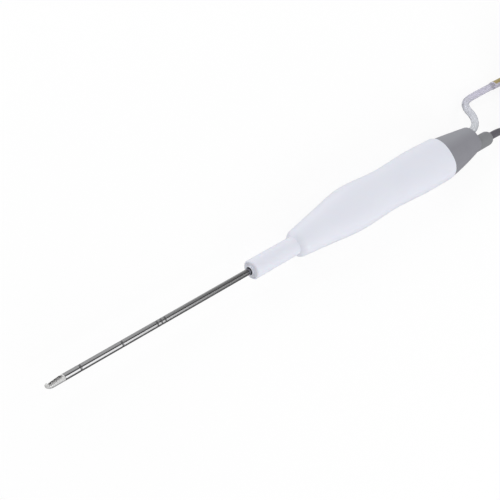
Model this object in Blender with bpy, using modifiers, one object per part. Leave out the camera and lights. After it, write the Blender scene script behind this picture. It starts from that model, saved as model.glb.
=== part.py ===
"""Plasma ablation wand: a steel working shaft with a ceramic tip, a white handle in two
moulded shells, a grey rear boot, and a power cable and a suction tube, each with its spare
length folded into a tied hank.

The wand lies on its side, as it comes to rest. Its own axes: x runs from the mouth of the
nose to the rear, y points to the side that the electrode faces, z points up. Metres."""

import math

import bmesh
import bpy
from mathutils import Matrix, Vector

MM = 0.001

# Clearances
SEAT_GAP = 0.3 * MM
FINE_GAP = 0.2 * MM

# Working shaft
SHAFT_DIAMETER = 3.75 * MM
SHAFT_WALL = 0.25 * MM
SHAFT_REACH = 123.4 * MM
SHAFT_TAIL = 62.0 * MM
MARK_FIRST = 19.4 * MM
MARK_PITCH = 24.9 * MM
MARK_WIDTH = 1.1 * MM
MARK_DEPTH = 0.06 * MM
MARK_TRIPLE_STEP = 2.6 * MM

# Ceramic tip: lengths run forward from the end of the steel tube. Its seat is turned about
# the shaft, from the side that the handle's top faces towards the upper side
TIP_TURN = 30.0
TIP_LENGTH = 10.4 * MM
TIP_NOSE_LENGTH = 3.6 * MM
TIP_NOSE_RISE = 0.55 * MM
TIP_NOSE_BLUNT = 0.35
SPIGOT_LENGTH = 4.0 * MM
SEAT_START = 0.7 * MM
SEAT_LENGTH = 8.0 * MM
SEAT_HIGH = 1.02 * MM
SEAT_LOW = 0.05 * MM
PASSAGE_DIAMETER = 1.0 * MM
PASSAGE_REACH = 6.0 * MM
POCKET_WIDTH = 1.3 * MM
POCKET_DEPTH = 0.7 * MM
POCKET_SHARES = (0.08, 0.74)

# Active electrode: a screen on two legs
SCREEN_LENGTH = 7.6 * MM
SCREEN_WIDTH = 2.5 * MM
SCREEN_THICKNESS = 0.35 * MM
SCREEN_STANDOFF = 0.2 * MM
SCREEN_HOLES = 3
SCREEN_HOLE_DIAMETER = 1.5 * MM
SCREEN_HOLE_PITCH = 2.15 * MM
LEG_DIAMETER = 0.4 * MM
LEG_INSET = 0.75 * MM

# Inner tube and wire in the shaft
LUMEN_DIAMETER = 1.6 * MM
LUMEN_BORE = 1.1 * MM
LUMEN_RISE = 0.0 * MM
WIRE_DIAMETER = 0.4 * MM
WIRE_DROP = 1.2 * MM

# Handle shells
NOSE_DIAMETER = 11.7 * MM
NOSE_LENGTH = 34.6 * MM
NOSE_CHAMFER = 0.6 * MM
SHOULDER_LENGTH = 4.4 * MM
HANDLE_LENGTH = 180.7 * MM
SHELL_WALL = 2.0 * MM
SQUARENESS = 2.25
# Behind the shoulder, as a share of the grip's length: above, below and beside the shaft
GRIP_SECTIONS = (
    (0.0, 8.8 * MM, 8.5 * MM, 8.2 * MM),
    (0.152, 12.9 * MM, 10.4 * MM, 10.2 * MM),
    (0.3, 16.7 * MM, 12.5 * MM, 12.5 * MM),
    (0.375, 17.4 * MM, 12.8 * MM, 13.0 * MM),
    (0.587, 16.2 * MM, 12.0 * MM, 12.1 * MM),
    (0.81, 17.6 * MM, 13.5 * MM, 13.0 * MM),
    (1.0, 17.3 * MM, 13.7 * MM, 12.6 * MM),
)
RIB_THICKNESS = 1.6 * MM
HOSE_RIBS = (121.0 * MM, 163.0 * MM)
BOSS_DIAMETER = 4.4 * MM
BOSS_PLACES = (
    (66.0 * MM, 8.6 * MM),
    (101.0 * MM, 11.4 * MM),
    (147.0 * MM, 12.6 * MM),
    (147.0 * MM, -10.9 * MM),
)
PIN_DIAMETER = 1.8 * MM
PIN_LENGTH = 3.2 * MM
SPIGOT_RIM_LENGTH = 6.0 * MM
SPIGOT_RIM_WALL = 1.6 * MM

# Rear boot
BOOT_LENGTH = 38.1 * MM
BOOT_WALL = 2.0 * MM
BOOT_EDGE = 1.5 * MM
# Above, below and beside the shaft's line: how far the boot starts inside the shells' outline,
# what it tapers to, and how far its sides swell halfway
BOOT_STEP = (0.9 * MM, 0.3 * MM, 0.5 * MM)
BOOT_END_SIZE = (12.7 * MM, 6.6 * MM, 8.8 * MM)
BOOT_BELLY = (0.1 * MM, 0.6 * MM, 0.4 * MM)

# Shaft bushing, hub and return clip
BUSHING_DIAMETER = 5.4 * MM
BUSHING_LENGTH = 14.0 * MM
BUSHING_PROUD = 0.5 * MM
HUB_DIAMETER = 9.0 * MM
HUB_LENGTH = 15.0 * MM
HUB_START = 43.0 * MM
HUB_FLANGE_DIAMETER = 12.6 * MM
HUB_FLANGE_WIDTH = 2.6 * MM
CLIP_THICKNESS = 0.5 * MM
CLIP_WIDTH = 2.4 * MM
CLIP_TAB = 1.6 * MM

# Suction path in the handle
ADAPTER_START = 70.0 * MM
ADAPTER_BODY = 8.0 * MM
ADAPTER_LENGTH = 12.0 * MM
ADAPTER_SOCKET = 5.0 * MM
ADAPTER_FLANGE_DIAMETER = 10.4 * MM
ADAPTER_FLANGE_WIDTH = 2.0 * MM
BARB_LENGTH = 10.0 * MM
BARB_DIAMETER = 2.3 * MM
BARB_RIDGE = 0.2 * MM
BARB_BORE = 1.2 * MM
HOSE_DIAMETER = 5.3 * MM
HOSE_BORE = 3.2 * MM
HOSE_OUTLET_Y = 7.6 * MM

# Cable, its cores and its gland
CABLE_DIAMETER = 5.5 * MM
CORE_DIAMETER = 1.2 * MM
ACTIVE_CORE_DROP = 6.6 * MM
RETURN_CORE_DROP = 8.8 * MM
CRIMP_DIAMETER = 2.4 * MM
CRIMP_LENGTH = 6.0 * MM
CRIMP_START = 86.0 * MM
GLAND_Y = -2.0 * MM
GLAND_DIAMETER = 10.6 * MM
GLAND_LENGTH = 18.7 * MM
GLAND_ROUNDING = 3.2 * MM
GLAND_NECK = 4.8 * MM
GLAND_FLANGE = 6.4 * MM
GLAND_FLANGE_WIDTH = 2.0 * MM
GLAND_RECESS = 3.0 * MM

# Hanks: each is 2 turns across and 5 layers high
FOLD_DIAMETERS = 3.0
TURNS_ACROSS = 2
LAYERS = 5
TIE_THICKNESS = 0.6 * MM
TIE_WIDTH = 9.0 * MM
CABLE_HANK_RUN = 92.0 * MM
TUBE_HANK_RUN = 84.0 * MM
CABLE_HANK_START = 54.0 * MM
CABLE_HANK_Y = 4.0 * MM
HANK_SPACING = 3.0 * MM
TUBE_RUN_IN = 0.36

# Plug
PLUG_LENGTH = 44.0 * MM
PLUG_WIDTH = 36.0 * MM
PLUG_HEIGHT = 15.0 * MM
PLUG_WALL = 2.0 * MM
PLUG_EDGE = 2.5 * MM
PLUG_MOUTH = 11.0 * MM
PLUG_FROM_HANK_END = 10.0 * MM
GRIP_GROOVES = 5
GRIP_GROOVE_WIDTH = 1.4 * MM
GRIP_GROOVE_DEPTH = 0.7 * MM
GRIP_GROOVE_PITCH = 3.2 * MM
PIN_COLUMNS = 5
PIN_ROWS = 2
PLUG_PIN_DIAMETER = 1.5 * MM
PLUG_PIN_PITCH = 5.2 * MM
PLUG_ROW_PITCH = 6.0 * MM
PLUG_PIN_LENGTH = 9.0 * MM
RELIEF_LENGTH = 24.0 * MM
RELIEF_WIDE = 10.0 * MM
RELIEF_NARROW = 8.0 * MM

# Suction connector and collar
COLLAR_PLACE = 65.0 * MM
COLLAR_Y = 30.6 * MM
COLLAR_LENGTH = 14.0 * MM
COLLAR_WALL = 0.5 * MM
CONNECTOR_LENGTH = 38.0 * MM
CONNECTOR_DIAMETER = 12.0 * MM
CONNECTOR_NECK = 8.4 * MM
CONNECTOR_BORE = 7.6 * MM
CONNECTOR_DEPTH = 22.0 * MM

# Fineness of the round forms
ROUND_STEPS = 20
SHELL_STEPS = 32
CAVITY_STEPS = 20
BOOT_SECTIONS = 8

# Radii and places that follow from the sizes above
SHAFT_RADIUS = SHAFT_DIAMETER / 2
SHAFT_BORE_RADIUS = SHAFT_RADIUS - SHAFT_WALL
TIP_END = -(SHAFT_REACH + TIP_LENGTH)
TIP_BASE = -(SHAFT_REACH + FINE_GAP)
SHOULDER_END = NOSE_LENGTH + SHOULDER_LENGTH
GRIP_LENGTH = HANDLE_LENGTH - SHOULDER_END
BOOT_START = HANDLE_LENGTH + SEAT_GAP
BOOT_END = BOOT_START + BOOT_LENGTH
GLAND_END = BOOT_END + SEAT_GAP + GLAND_LENGTH
WIDEST_TOP = max(section[1] for section in GRIP_SECTIONS)
WIDEST_BOTTOM = max(section[2] for section in GRIP_SECTIONS)
REST_HEIGHT = max(section[3] for section in GRIP_SECTIONS)
HANK_LIFT = TIE_THICKNESS + SEAT_GAP


def clear_scene():
    for item in list(bpy.data.objects):
        bpy.data.objects.remove(item, do_unlink=True)


def new_collection(name):
    collection = bpy.data.collections.new(name)
    bpy.context.scene.collection.children.link(collection)
    return collection


def new_material(name, colour, roughness, metallic=0.0):
    material = bpy.data.materials.new(name)
    material.use_nodes = True
    shader = material.node_tree.nodes["Principled BSDF"]
    shader.inputs["Base Color"].default_value = (*colour, 1.0)
    shader.inputs["Roughness"].default_value = roughness
    shader.inputs["Metallic"].default_value = metallic
    material.diffuse_color = (*colour, 1.0)
    return material


clear_scene()
PARTS = new_collection("plasma_ablation_wand")
CUTTERS = new_collection("cutters")

# The wand's own axes: everything is parented to this empty, which sets the wand down on its
# side with the middle of its outline over the origin
WAND = bpy.data.objects.new("wand_axes", None)
WAND.location = (
    -(TIP_END + GLAND_END) / 2,
    -(WIDEST_TOP - WIDEST_BOTTOM) / 2,
    REST_HEIGHT,
)
PARTS.objects.link(WAND)

# The tip's own axes: its seat faces their y
TIP_AXES = bpy.data.objects.new("tip_axes", None)
TIP_AXES.parent = WAND
TIP_AXES.rotation_euler = (math.radians(TIP_TURN), 0.0, 0.0)
PARTS.objects.link(TIP_AXES)


def place(item, material=None):
    """Adds an object to the model, or to the cutters where it has no material."""
    item.parent = WAND
    if material is None:
        CUTTERS.objects.link(item)
        item.hide_render = True
        item.display_type = "WIRE"
    else:
        PARTS.objects.link(item)
        item.data.materials.append(material)
    return item


def mesh_object(name, work_mesh, material=None, smooth=True):
    mesh = bpy.data.meshes.new(name)
    work_mesh.to_mesh(mesh)
    work_mesh.free()
    if smooth:
        mesh.shade_smooth()
        mesh.set_sharp_from_angle(angle=math.radians(35))
    return place(bpy.data.objects.new(name, mesh), material)


def boolean(item, other, operation="DIFFERENCE"):
    modifier = item.modifiers.new(other.name, "BOOLEAN")
    modifier.operation = operation
    modifier.solver = "EXACT"
    modifier.object = other


def turned(name, profile, centre=(0.0, 0.0, 0.0), material=None, steps=ROUND_STEPS, backwards=False):
    """A turned piece: profile holds (x, radius) pairs, front to rear on its outer side."""
    work = bmesh.new()
    closed = all(radius > 0 for _, radius in profile)
    points = [work.verts.new((radius, 0.0, -x)) for x, radius in profile]
    for first, second in zip(points, points[1:]):
        work.edges.new((first, second))
    if closed:
        work.edges.new((points[-1], points[0]))
    item = mesh_object(name, work, material, smooth=False)
    screw = item.modifiers.new("turn", "SCREW")
    screw.axis = "Z"
    screw.steps = steps
    screw.render_steps = steps
    screw.use_merge_vertices = True
    screw.merge_threshold = 0.00001
    screw.use_smooth_shade = True
    item.location = centre
    item.rotation_euler = (0.0, math.radians(90 if backwards else -90), 0.0)
    return item


def rod(name, radius, start, end, material=None, steps=ROUND_STEPS):
    """A plain cylinder between two points."""
    start, end = Vector(start), Vector(end)
    along = end - start
    turn = along.to_track_quat("Z", "Y").to_matrix().to_4x4()
    work = bmesh.new()
    bmesh.ops.create_cone(
        work,
        cap_ends=True,
        segments=steps,
        radius1=radius,
        radius2=radius,
        depth=along.length,
        matrix=Matrix.Translation((start + end) / 2) @ turn,
    )
    return mesh_object(name, work, material)


def block(name, low, high, material=None, turn=None):
    """A box between two corners, turned about its own centre if asked."""
    low, high = Vector(low), Vector(high)
    size = high - low
    work = bmesh.new()
    bmesh.ops.create_cube(work, size=1.0)
    bmesh.ops.scale(work, vec=size, verts=work.verts)
    if turn is not None:
        bmesh.ops.transform(work, matrix=turn, verts=work.verts)
    bmesh.ops.translate(work, vec=(low + high) / 2, verts=work.verts)
    return mesh_object(name, work, material, smooth=False)


def loft(name, rings, material=None, smooth=True):
    """A closed skin over rings of equally many points."""
    work = bmesh.new()
    rows = [[work.verts.new(point) for point in ring] for ring in rings]
    for row, following in zip(rows, rows[1:]):
        for k, point in enumerate(row):
            after = (k + 1) % len(row)
            work.faces.new((point, row[after], following[after], following[k]))
    work.faces.new(rows[0][::-1])
    work.faces.new(rows[-1])
    bmesh.ops.recalc_face_normals(work, faces=work.faces)
    return mesh_object(name, work, material, smooth)


def oval(x, top, bottom, side, steps, squareness=SQUARENESS):
    """A ring across the wand: a slightly squared oval about the shaft's line."""
    ring = []
    for k in range(steps):
        angle = 2 * math.pi * k / steps
        c, s = math.cos(angle), math.sin(angle)
        reach = top if c > 0 else bottom
        y = math.copysign(abs(c) ** (2 / squareness), c) * reach
        z = math.copysign(abs(s) ** (2 / squareness), s) * side
        ring.append((x, y, z))
    return ring


def smooth_value(stations, x, column):
    """A cubic through the stations' values in one column, read at x."""
    places = [station[0] for station in stations]
    values = [station[column] for station in stations]
    x = min(max(x, places[0]), places[-1])
    last = len(places) - 1

    def slope(k):
        before, after = max(k - 1, 0), min(k + 1, last)
        return (values[after] - values[before]) / (places[after] - places[before])

    k = max(i for i in range(last) if places[i] <= x or i == 0)
    span = places[k + 1] - places[k]
    t = (x - places[k]) / span
    start, end = slope(k) * span, slope(k + 1) * span
    return (
        (2 * t**3 - 3 * t**2 + 1) * values[k]
        + (t**3 - 2 * t**2 + t) * start
        + (3 * t**2 - 2 * t**3) * values[k + 1]
        + (t**3 - t**2) * end
    )


def grip_size(x):
    """Above, below and beside the shaft's line at a place along the grip."""
    share = (x - SHOULDER_END) / GRIP_LENGTH
    return [smooth_value(GRIP_SECTIONS, share, column) for column in (1, 2, 3)]


def smooth_route(points, spacing):
    """Evenly spaced points on a smooth curve through the route's own points."""
    points = [Vector(point) for point in points]
    ends = [2 * points[0] - points[1], *points, 2 * points[-1] - points[-2]]
    dense = []
    for a, b, c, d in zip(ends, ends[1:], ends[2:], ends[3:]):
        for step in range(16):
            t = step / 16
            dense.append(
                0.5
                * (
                    2 * b
                    + (c - a) * t
                    + (2 * a - 5 * b + 4 * c - d) * t**2
                    + (3 * b - a - 3 * c + d) * t**3
                )
            )
    dense.append(points[-1])
    length = sum((q - p).length for p, q in zip(dense, dense[1:]))
    count = max(2, round(length / spacing))
    chosen, run, target = [dense[0]], 0.0, length / count
    for p, q in zip(dense, dense[1:]):
        step = (q - p).length
        while run + step >= target - 1e-9 and len(chosen) < count:
            chosen.append(p.lerp(q, (target - run) / step))
            target += length / count
        run += step
    return [*chosen, dense[-1]]


def round_curve(name, points, radius, material, resolution=2):
    """A wire or a hose along points: a poly line with a round bevel and filled ends."""
    curve = bpy.data.curves.new(name, "CURVE")
    curve.dimensions = "3D"
    curve.bevel_depth = radius
    curve.bevel_resolution = resolution
    curve.use_fill_caps = True
    spline = curve.splines.new("POLY")
    spline.points.add(len(points) - 1)
    for point, co in zip(spline.points, points):
        point.co = (*co, 1.0)
    return place(bpy.data.objects.new(name, curve), material)


def as_mesh(item, material=None):
    """Turns a curve object into a welded mesh object of the same name and place."""
    name = item.name
    bpy.context.view_layer.update()
    evaluated = item.evaluated_get(bpy.context.evaluated_depsgraph_get())
    mesh = bpy.data.meshes.new_from_object(evaluated)
    place_in_world = item.matrix_world.copy()
    bpy.data.objects.remove(item, do_unlink=True)
    work = bmesh.new()
    work.from_mesh(mesh)
    bmesh.ops.remove_doubles(work, verts=work.verts, dist=0.000005)
    work.to_mesh(mesh)
    work.free()
    mesh.name = name
    mesh.materials.clear()
    made = place(bpy.data.objects.new(name, mesh), material)
    made.matrix_world = place_in_world
    return made


def flat_curve(name, outlines, thickness, material=None, edge=0.0):
    """A flat outline in local x and y, with any inner outlines as holes, made solid."""
    curve = bpy.data.curves.new(name, "CURVE")
    curve.dimensions = "2D"
    curve.fill_mode = "BOTH"
    curve.extrude = thickness / 2 - edge
    curve.bevel_depth = edge
    curve.bevel_resolution = 1
    curve.offset = -edge
    for outline in outlines:
        spline = curve.splines.new("POLY")
        spline.points.add(len(outline) - 1)
        for point, (x, y) in zip(spline.points, outline):
            point.co = (x, y, 0.0, 1.0)
        spline.use_cyclic_u = True
    return place(bpy.data.objects.new(name, curve), material)


def stadium(length, width, corner, steps=6):
    """A rectangle with round corners, centred, as a list of points."""
    outline = []
    for quarter, (sx, sy) in enumerate(((1, 1), (-1, 1), (-1, -1), (1, -1))):
        centre_x = sx * (length / 2 - corner)
        centre_y = sy * (width / 2 - corner)
        for step in range(steps + 1):
            angle = math.pi / 2 * (quarter + step / steps)
            outline.append((centre_x + corner * math.cos(angle), centre_y + corner * math.sin(angle)))
    return outline


def circle(x, radius, steps=16):
    angles = [2 * math.pi * k / steps for k in range(steps)]
    return [(x + radius * math.cos(a), radius * math.sin(a)) for a in angles]


# Materials
STEEL = new_material("brushed_steel", (0.55, 0.55, 0.56), 0.3, 1.0)
CERAMIC = new_material("alumina_ceramic", (0.72, 0.72, 0.70), 0.45)
ELECTRODE = new_material("electrode_metal", (0.45, 0.44, 0.43), 0.35, 1.0)
WHITE = new_material("white_plastic", (0.76, 0.77, 0.83), 0.45)
DARK = new_material("dark_sleeve", (0.06, 0.06, 0.065), 0.5)
BOOT_GREY = new_material("boot_grey", (0.26, 0.26, 0.29), 0.55)
CABLE_GREY = new_material("cable_grey", (0.12, 0.12, 0.13), 0.5)
CLEAR = new_material("clear_tube", (0.55, 0.54, 0.62), 0.15)
AMBER = new_material("amber_plastic", (0.5, 0.42, 0.2), 0.3)
NATURAL = new_material("natural_plastic", (0.7, 0.68, 0.6), 0.5)
BRASS = new_material("brass", (0.7, 0.5, 0.2), 0.3, 1.0)
RED = new_material("red_insulation", (0.45, 0.04, 0.03), 0.45)
BLACK = new_material("black_plastic", (0.03, 0.03, 0.032), 0.45)


def make_shaft():
    """The thin steel tube, with shallow rings that mark depth from the tip."""
    centres = [TIP_END + MARK_FIRST, TIP_END + MARK_FIRST + MARK_PITCH]
    third = TIP_END + MARK_FIRST + 2 * MARK_PITCH
    centres += [third - MARK_TRIPLE_STEP, third, third + MARK_TRIPLE_STEP]
    profile = [(-SHAFT_REACH, SHAFT_RADIUS)]
    for centre in centres:
        for edge in (-MARK_WIDTH / 2, MARK_WIDTH / 2):
            levels = (SHAFT_RADIUS, SHAFT_RADIUS - MARK_DEPTH)
            for level in levels if edge < 0 else levels[::-1]:
                profile.append((centre + edge, level))
    profile += [
        (SHAFT_TAIL, SHAFT_RADIUS),
        (SHAFT_TAIL, SHAFT_BORE_RADIUS),
        (-SHAFT_REACH, SHAFT_BORE_RADIUS),
    ]
    turned("shaft_tube", profile, material=STEEL)


def seat_turn():
    """The tilt of the seat: it falls towards the nose of the tip."""
    return Matrix.Rotation(math.atan2(SEAT_HIGH - SEAT_LOW, SEAT_LENGTH), 4, "Z")


def seat_point(share, above=0.0):
    """A point on the seat, from its rear edge (0) to its front edge (1)."""
    x = TIP_BASE - SEAT_START - share * SEAT_LENGTH
    y = SEAT_HIGH + share * (SEAT_LOW - SEAT_HIGH)
    tilt = seat_turn().to_3x3()
    return Vector((x, y, 0.0)) + tilt @ Vector((0.0, above, 0.0))


def make_tip():
    """The ceramic head: a round bar whose nose rises, dished on top for the screen."""
    rings = []
    barrel_end = TIP_LENGTH - FINE_GAP - TIP_NOSE_LENGTH
    nose_steps = 7
    for share in (0.0, 1.0):
        rings.append((TIP_BASE - share * barrel_end, SHAFT_RADIUS, 0.0))
    for step in range(1, nose_steps + 1):
        angle = math.pi / 2 * step / nose_steps
        forward = math.sin(angle)
        radius = SHAFT_RADIUS * (TIP_NOSE_BLUNT + (1 - TIP_NOSE_BLUNT) * math.cos(angle))
        rings.append((TIP_BASE - barrel_end - forward * TIP_NOSE_LENGTH, radius, TIP_NOSE_RISE * forward**2))
    circles = []
    for x, radius, rise in rings:
        angles = [2 * math.pi * k / ROUND_STEPS for k in range(ROUND_STEPS)]
        circles.append([(x, rise + radius * math.cos(a), radius * math.sin(a)) for a in angles])
    tip = loft("tip_insulator", circles, CERAMIC)

    spigot = rod(
        "tip_spigot",
        SHAFT_BORE_RADIUS - FINE_GAP,
        (TIP_BASE + SPIGOT_LENGTH, 0, 0),
        (TIP_BASE - SEAT_START / 2, 0, 0),
    )
    boolean(tip, spigot, "UNION")

    reach = SHAFT_DIAMETER
    middle = seat_point(0.5, reach / 2)
    half = Vector((math.hypot(SEAT_LENGTH, SEAT_HIGH - SEAT_LOW) / 2, reach / 2, reach))
    seat = block("tip_seat_cutter", middle - half, middle + half, turn=seat_turn())
    boolean(tip, seat)

    first, last = (seat_point(share) for share in POCKET_SHARES)
    pocket_half = Vector(((first.x - last.x) / 2, POCKET_DEPTH, POCKET_WIDTH / 2))
    pocket_middle = (first + last) / 2
    corners = (pocket_middle - pocket_half, pocket_middle + pocket_half)
    pocket = block("tip_pocket_cutter", *corners, turn=seat_turn())
    boolean(tip, pocket)

    passage = rod(
        "tip_passage_cutter",
        PASSAGE_DIAMETER / 2,
        (TIP_BASE + SPIGOT_LENGTH + SEAT_GAP, LUMEN_RISE, 0),
        (TIP_BASE - PASSAGE_REACH, LUMEN_RISE, 0),
        steps=16,
    )
    boolean(tip, passage)

    leg_x = seat_point(0.5).x - (SCREEN_LENGTH / 2 - LEG_INSET)
    wire_hole = rod(
        "tip_wire_cutter",
        WIRE_DIAMETER / 2 + FINE_GAP * 0.75,
        (TIP_BASE + SPIGOT_LENGTH + SEAT_GAP, -WIRE_DROP, 0),
        (leg_x, -WIRE_DROP, 0),
        steps=12,
    )
    boolean(tip, wire_hole)
    leg_hole = rod(
        "tip_leg_cutter",
        LEG_DIAMETER / 2 + FINE_GAP,
        (leg_x, -WIRE_DROP, 0),
        (leg_x, SHAFT_RADIUS, 0),
        steps=12,
    )
    boolean(tip, leg_hole)
    for item in (tip, spigot, seat, pocket, passage, wire_hole, leg_hole):
        item.parent = TIP_AXES
    return leg_x


def make_screen(leg_x):
    """The flat metal screen with round openings, and the leg that feeds it."""
    holes = []
    for k in range(SCREEN_HOLES):
        offset = (k - (SCREEN_HOLES - 1) / 2) * SCREEN_HOLE_PITCH
        holes.append(circle(offset + LEG_INSET / 2, SCREEN_HOLE_DIAMETER / 2, 14))
    outline = stadium(SCREEN_LENGTH, SCREEN_WIDTH, SCREEN_WIDTH / 2 - FINE_GAP, 5)
    screen = flat_curve("active_electrode", [outline, *holes], SCREEN_THICKNESS, ELECTRODE)
    screen.location = seat_point(0.5, SCREEN_STANDOFF + SCREEN_THICKNESS / 2)
    tilt = math.atan2(SEAT_HIGH - SEAT_LOW, SEAT_LENGTH)
    upright = Matrix.Rotation(math.radians(-90), 3, "X")
    screen.rotation_euler = (Matrix.Rotation(tilt, 3, "Z") @ upright).to_euler()
    screen = as_mesh(screen, ELECTRODE)
    head = seat_point(0.5, SCREEN_STANDOFF).y - math.tan(tilt) * (seat_point(0.5).x - leg_x)
    leg = rod(
        "electrode_leg",
        LEG_DIAMETER / 2,
        (leg_x, -WIRE_DROP + WIRE_DIAMETER / 2, 0),
        (leg_x, head + SCREEN_THICKNESS * 0.6, 0),
        steps=10,
    )
    boolean(screen, leg, "UNION")
    for item in (screen, leg):
        item.parent = TIP_AXES


def make_lumen_and_wire(leg_x):
    """The thin inner tube that carries fluid, and the insulated wire to the screen."""
    front = TIP_BASE + SPIGOT_LENGTH + SEAT_GAP
    rear = ADAPTER_START + ADAPTER_SOCKET - SEAT_GAP
    profile = [
        (front, LUMEN_DIAMETER / 2),
        (rear, LUMEN_DIAMETER / 2),
        (rear, LUMEN_BORE / 2),
        (front, LUMEN_BORE / 2),
    ]
    turned("suction_lumen", profile, (0, LUMEN_RISE, 0), NATURAL, steps=16)

    start = leg_x + LEG_DIAMETER / 2 + FINE_GAP
    tail = SHAFT_TAIL + WIRE_DIAMETER
    bend = ADAPTER_START - WIRE_DIAMETER - tail
    turn = math.radians(TIP_TURN)
    drop, aside = WIRE_DROP * math.cos(turn), WIRE_DROP * math.sin(turn)
    points = [(start, -drop, -aside), ((start + tail) / 2, -drop, -aside)]
    steps = 8
    for step in range(steps + 1):
        share = step / steps
        ease = share * share * (3 - 2 * share)
        points.append((tail + share * bend, -drop + ease * (drop - ACTIVE_CORE_DROP), -aside * (1 - ease)))
    points.append((CRIMP_START - SEAT_GAP, -ACTIVE_CORE_DROP, 0))
    round_curve("electrode_wire", points, WIRE_DIAMETER / 2, RED)


def make_bushing():
    """The dark insulating sleeve that centres the shaft in the mouth of the nose."""
    outer = BUSHING_DIAMETER / 2
    inner = SHAFT_RADIUS + FINE_GAP
    bevel = SEAT_GAP
    profile = [
        (-BUSHING_PROUD, outer - bevel),
        (-BUSHING_PROUD + bevel, outer),
        (BUSHING_LENGTH, outer),
        (BUSHING_LENGTH, inner),
        (-BUSHING_PROUD, inner),
    ]
    turned("shaft_bushing", profile, material=DARK)


def hub_flange_start():
    return HUB_START + (HUB_LENGTH - HUB_FLANGE_WIDTH) / 2


def make_hub_and_clip():
    """The hub moulded round the shaft, and the spring clip that takes the return current."""
    inner = SHAFT_RADIUS + FINE_GAP
    flange = hub_flange_start()
    profile = [
        (HUB_START, HUB_DIAMETER / 2),
        (flange, HUB_DIAMETER / 2),
        (flange, HUB_FLANGE_DIAMETER / 2),
        (flange + HUB_FLANGE_WIDTH, HUB_FLANGE_DIAMETER / 2),
        (flange + HUB_FLANGE_WIDTH, HUB_DIAMETER / 2),
        (HUB_START + HUB_LENGTH, HUB_DIAMETER / 2),
        (HUB_START + HUB_LENGTH, inner),
        (HUB_START, inner),
    ]
    turned("shaft_hub", profile, material=NATURAL)

    start = HUB_START + HUB_LENGTH + SEAT_GAP
    outer = inner + CLIP_THICKNESS
    ring = [(start, outer), (start + CLIP_WIDTH, outer), (start + CLIP_WIDTH, inner), (start, inner)]
    clip = turned("return_clip", ring, material=BRASS)
    tab = block(
        "clip_tab",
        (start, -outer - CLIP_TAB, -CLIP_WIDTH / 4),
        (start + CLIP_WIDTH, -outer + CLIP_THICKNESS / 2, CLIP_WIDTH / 4),
    )
    boolean(clip, tab, "UNION")
    slit = block(
        "clip_slit_cutter",
        (start - CLIP_WIDTH, 0, -CLIP_THICKNESS / 2),
        (start + 2 * CLIP_WIDTH, outer * 2, CLIP_THICKNESS / 2),
    )
    boolean(clip, slit)


def adapter_flange_start():
    return ADAPTER_START + (ADAPTER_LENGTH - ADAPTER_FLANGE_WIDTH) / 2


def make_adapter():
    """The fitting from the thin inner tube to the hose: socket, flange and barbed spigot."""
    body = ADAPTER_BODY / 2
    flange = ADAPTER_FLANGE_DIAMETER / 2
    flange_start = adapter_flange_start()
    barb_start = ADAPTER_START + ADAPTER_LENGTH
    barb = BARB_DIAMETER / 2
    ridge = barb + BARB_RIDGE
    bore = BARB_BORE / 2
    socket = LUMEN_DIAMETER / 2 + FINE_GAP
    third = BARB_LENGTH / 3
    profile = [
        (ADAPTER_START, body),
        (flange_start, body),
        (flange_start, flange),
        (flange_start + ADAPTER_FLANGE_WIDTH, flange),
        (flange_start + ADAPTER_FLANGE_WIDTH, body),
        (barb_start, body),
        (barb_start, barb),
        (barb_start + third, barb),
        (barb_start + third, ridge),
        (barb_start + 2 * third, barb),
        (barb_start + 2 * third, ridge),
        (barb_start + BARB_LENGTH, barb - BARB_RIDGE),
        (barb_start + BARB_LENGTH, bore),
        (ADAPTER_START + ADAPTER_SOCKET, bore),
        (ADAPTER_START + ADAPTER_SOCKET, socket),
        (ADAPTER_START, socket),
    ]
    turned("suction_adapter", profile, (0, LUMEN_RISE, 0), NATURAL, steps=16)


def hose_line():
    """The hose's middle line inside the handle, from the adapter to the boot's rear wall."""
    start = ADAPTER_START + ADAPTER_LENGTH + SEAT_GAP
    straight = start + BARB_LENGTH + 2 * HOSE_DIAMETER
    end = BOOT_END - BOOT_WALL / 2
    level = end - 2 * HOSE_DIAMETER
    points = [(start, LUMEN_RISE, 0), ((start + straight) / 2, LUMEN_RISE, 0)]
    steps = 12
    for step in range(steps + 1):
        share = step / steps
        ease = share * share * (3 - 2 * share)
        y = LUMEN_RISE + ease * (HOSE_OUTLET_Y - LUMEN_RISE)
        points.append((straight + share * (level - straight), y, 0))
    return [Vector(p) for p in [*points, (end, HOSE_OUTLET_Y, 0)]]


def hose_y(x):
    line = hose_line()
    for a, b in zip(line, line[1:]):
        if a.x <= x <= b.x:
            return a.lerp(b, (x - a.x) / (b.x - a.x)).y
    return line[0].y


def make_inner_hose():
    """The hose inside the handle, hollow from end to end, pushed over the barb."""
    line = hose_line()
    hose = as_mesh(round_curve("inner_hose", line, HOSE_DIAMETER / 2, CLEAR, 4), CLEAR)
    reach = Vector((HOSE_DIAMETER, 0, 0))
    longer = [line[0] - reach, *line[1:-1], line[-1] + reach]
    bore = as_mesh(round_curve("hose_bore_cutter", longer, HOSE_BORE / 2, CLEAR, 4))
    boolean(hose, bore)


def core_end_y(sign):
    """Where a core meets the gland: the two cores lie side by side there."""
    return GLAND_Y + sign * (CORE_DIAMETER / 2 + FINE_GAP)


def gland_front():
    return BOOT_END - BOOT_WALL - SEAT_GAP - GLAND_FLANGE_WIDTH


def core_line(start, y, sign):
    """A core's middle line from its joint in the handle to the gland."""
    end_x = gland_front() - SEAT_GAP
    bend = HOSE_RIBS[-1] + RIB_THICKNESS
    points = [(start, y, 0), ((start + bend) / 2, y, 0)]
    steps = 8
    for step in range(steps + 1):
        share = step / steps
        ease = share * share * (3 - 2 * share)
        points.append((bend + share * (end_x - bend), y + ease * (core_end_y(sign) - y), 0))
    return [Vector(p) for p in points]


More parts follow.
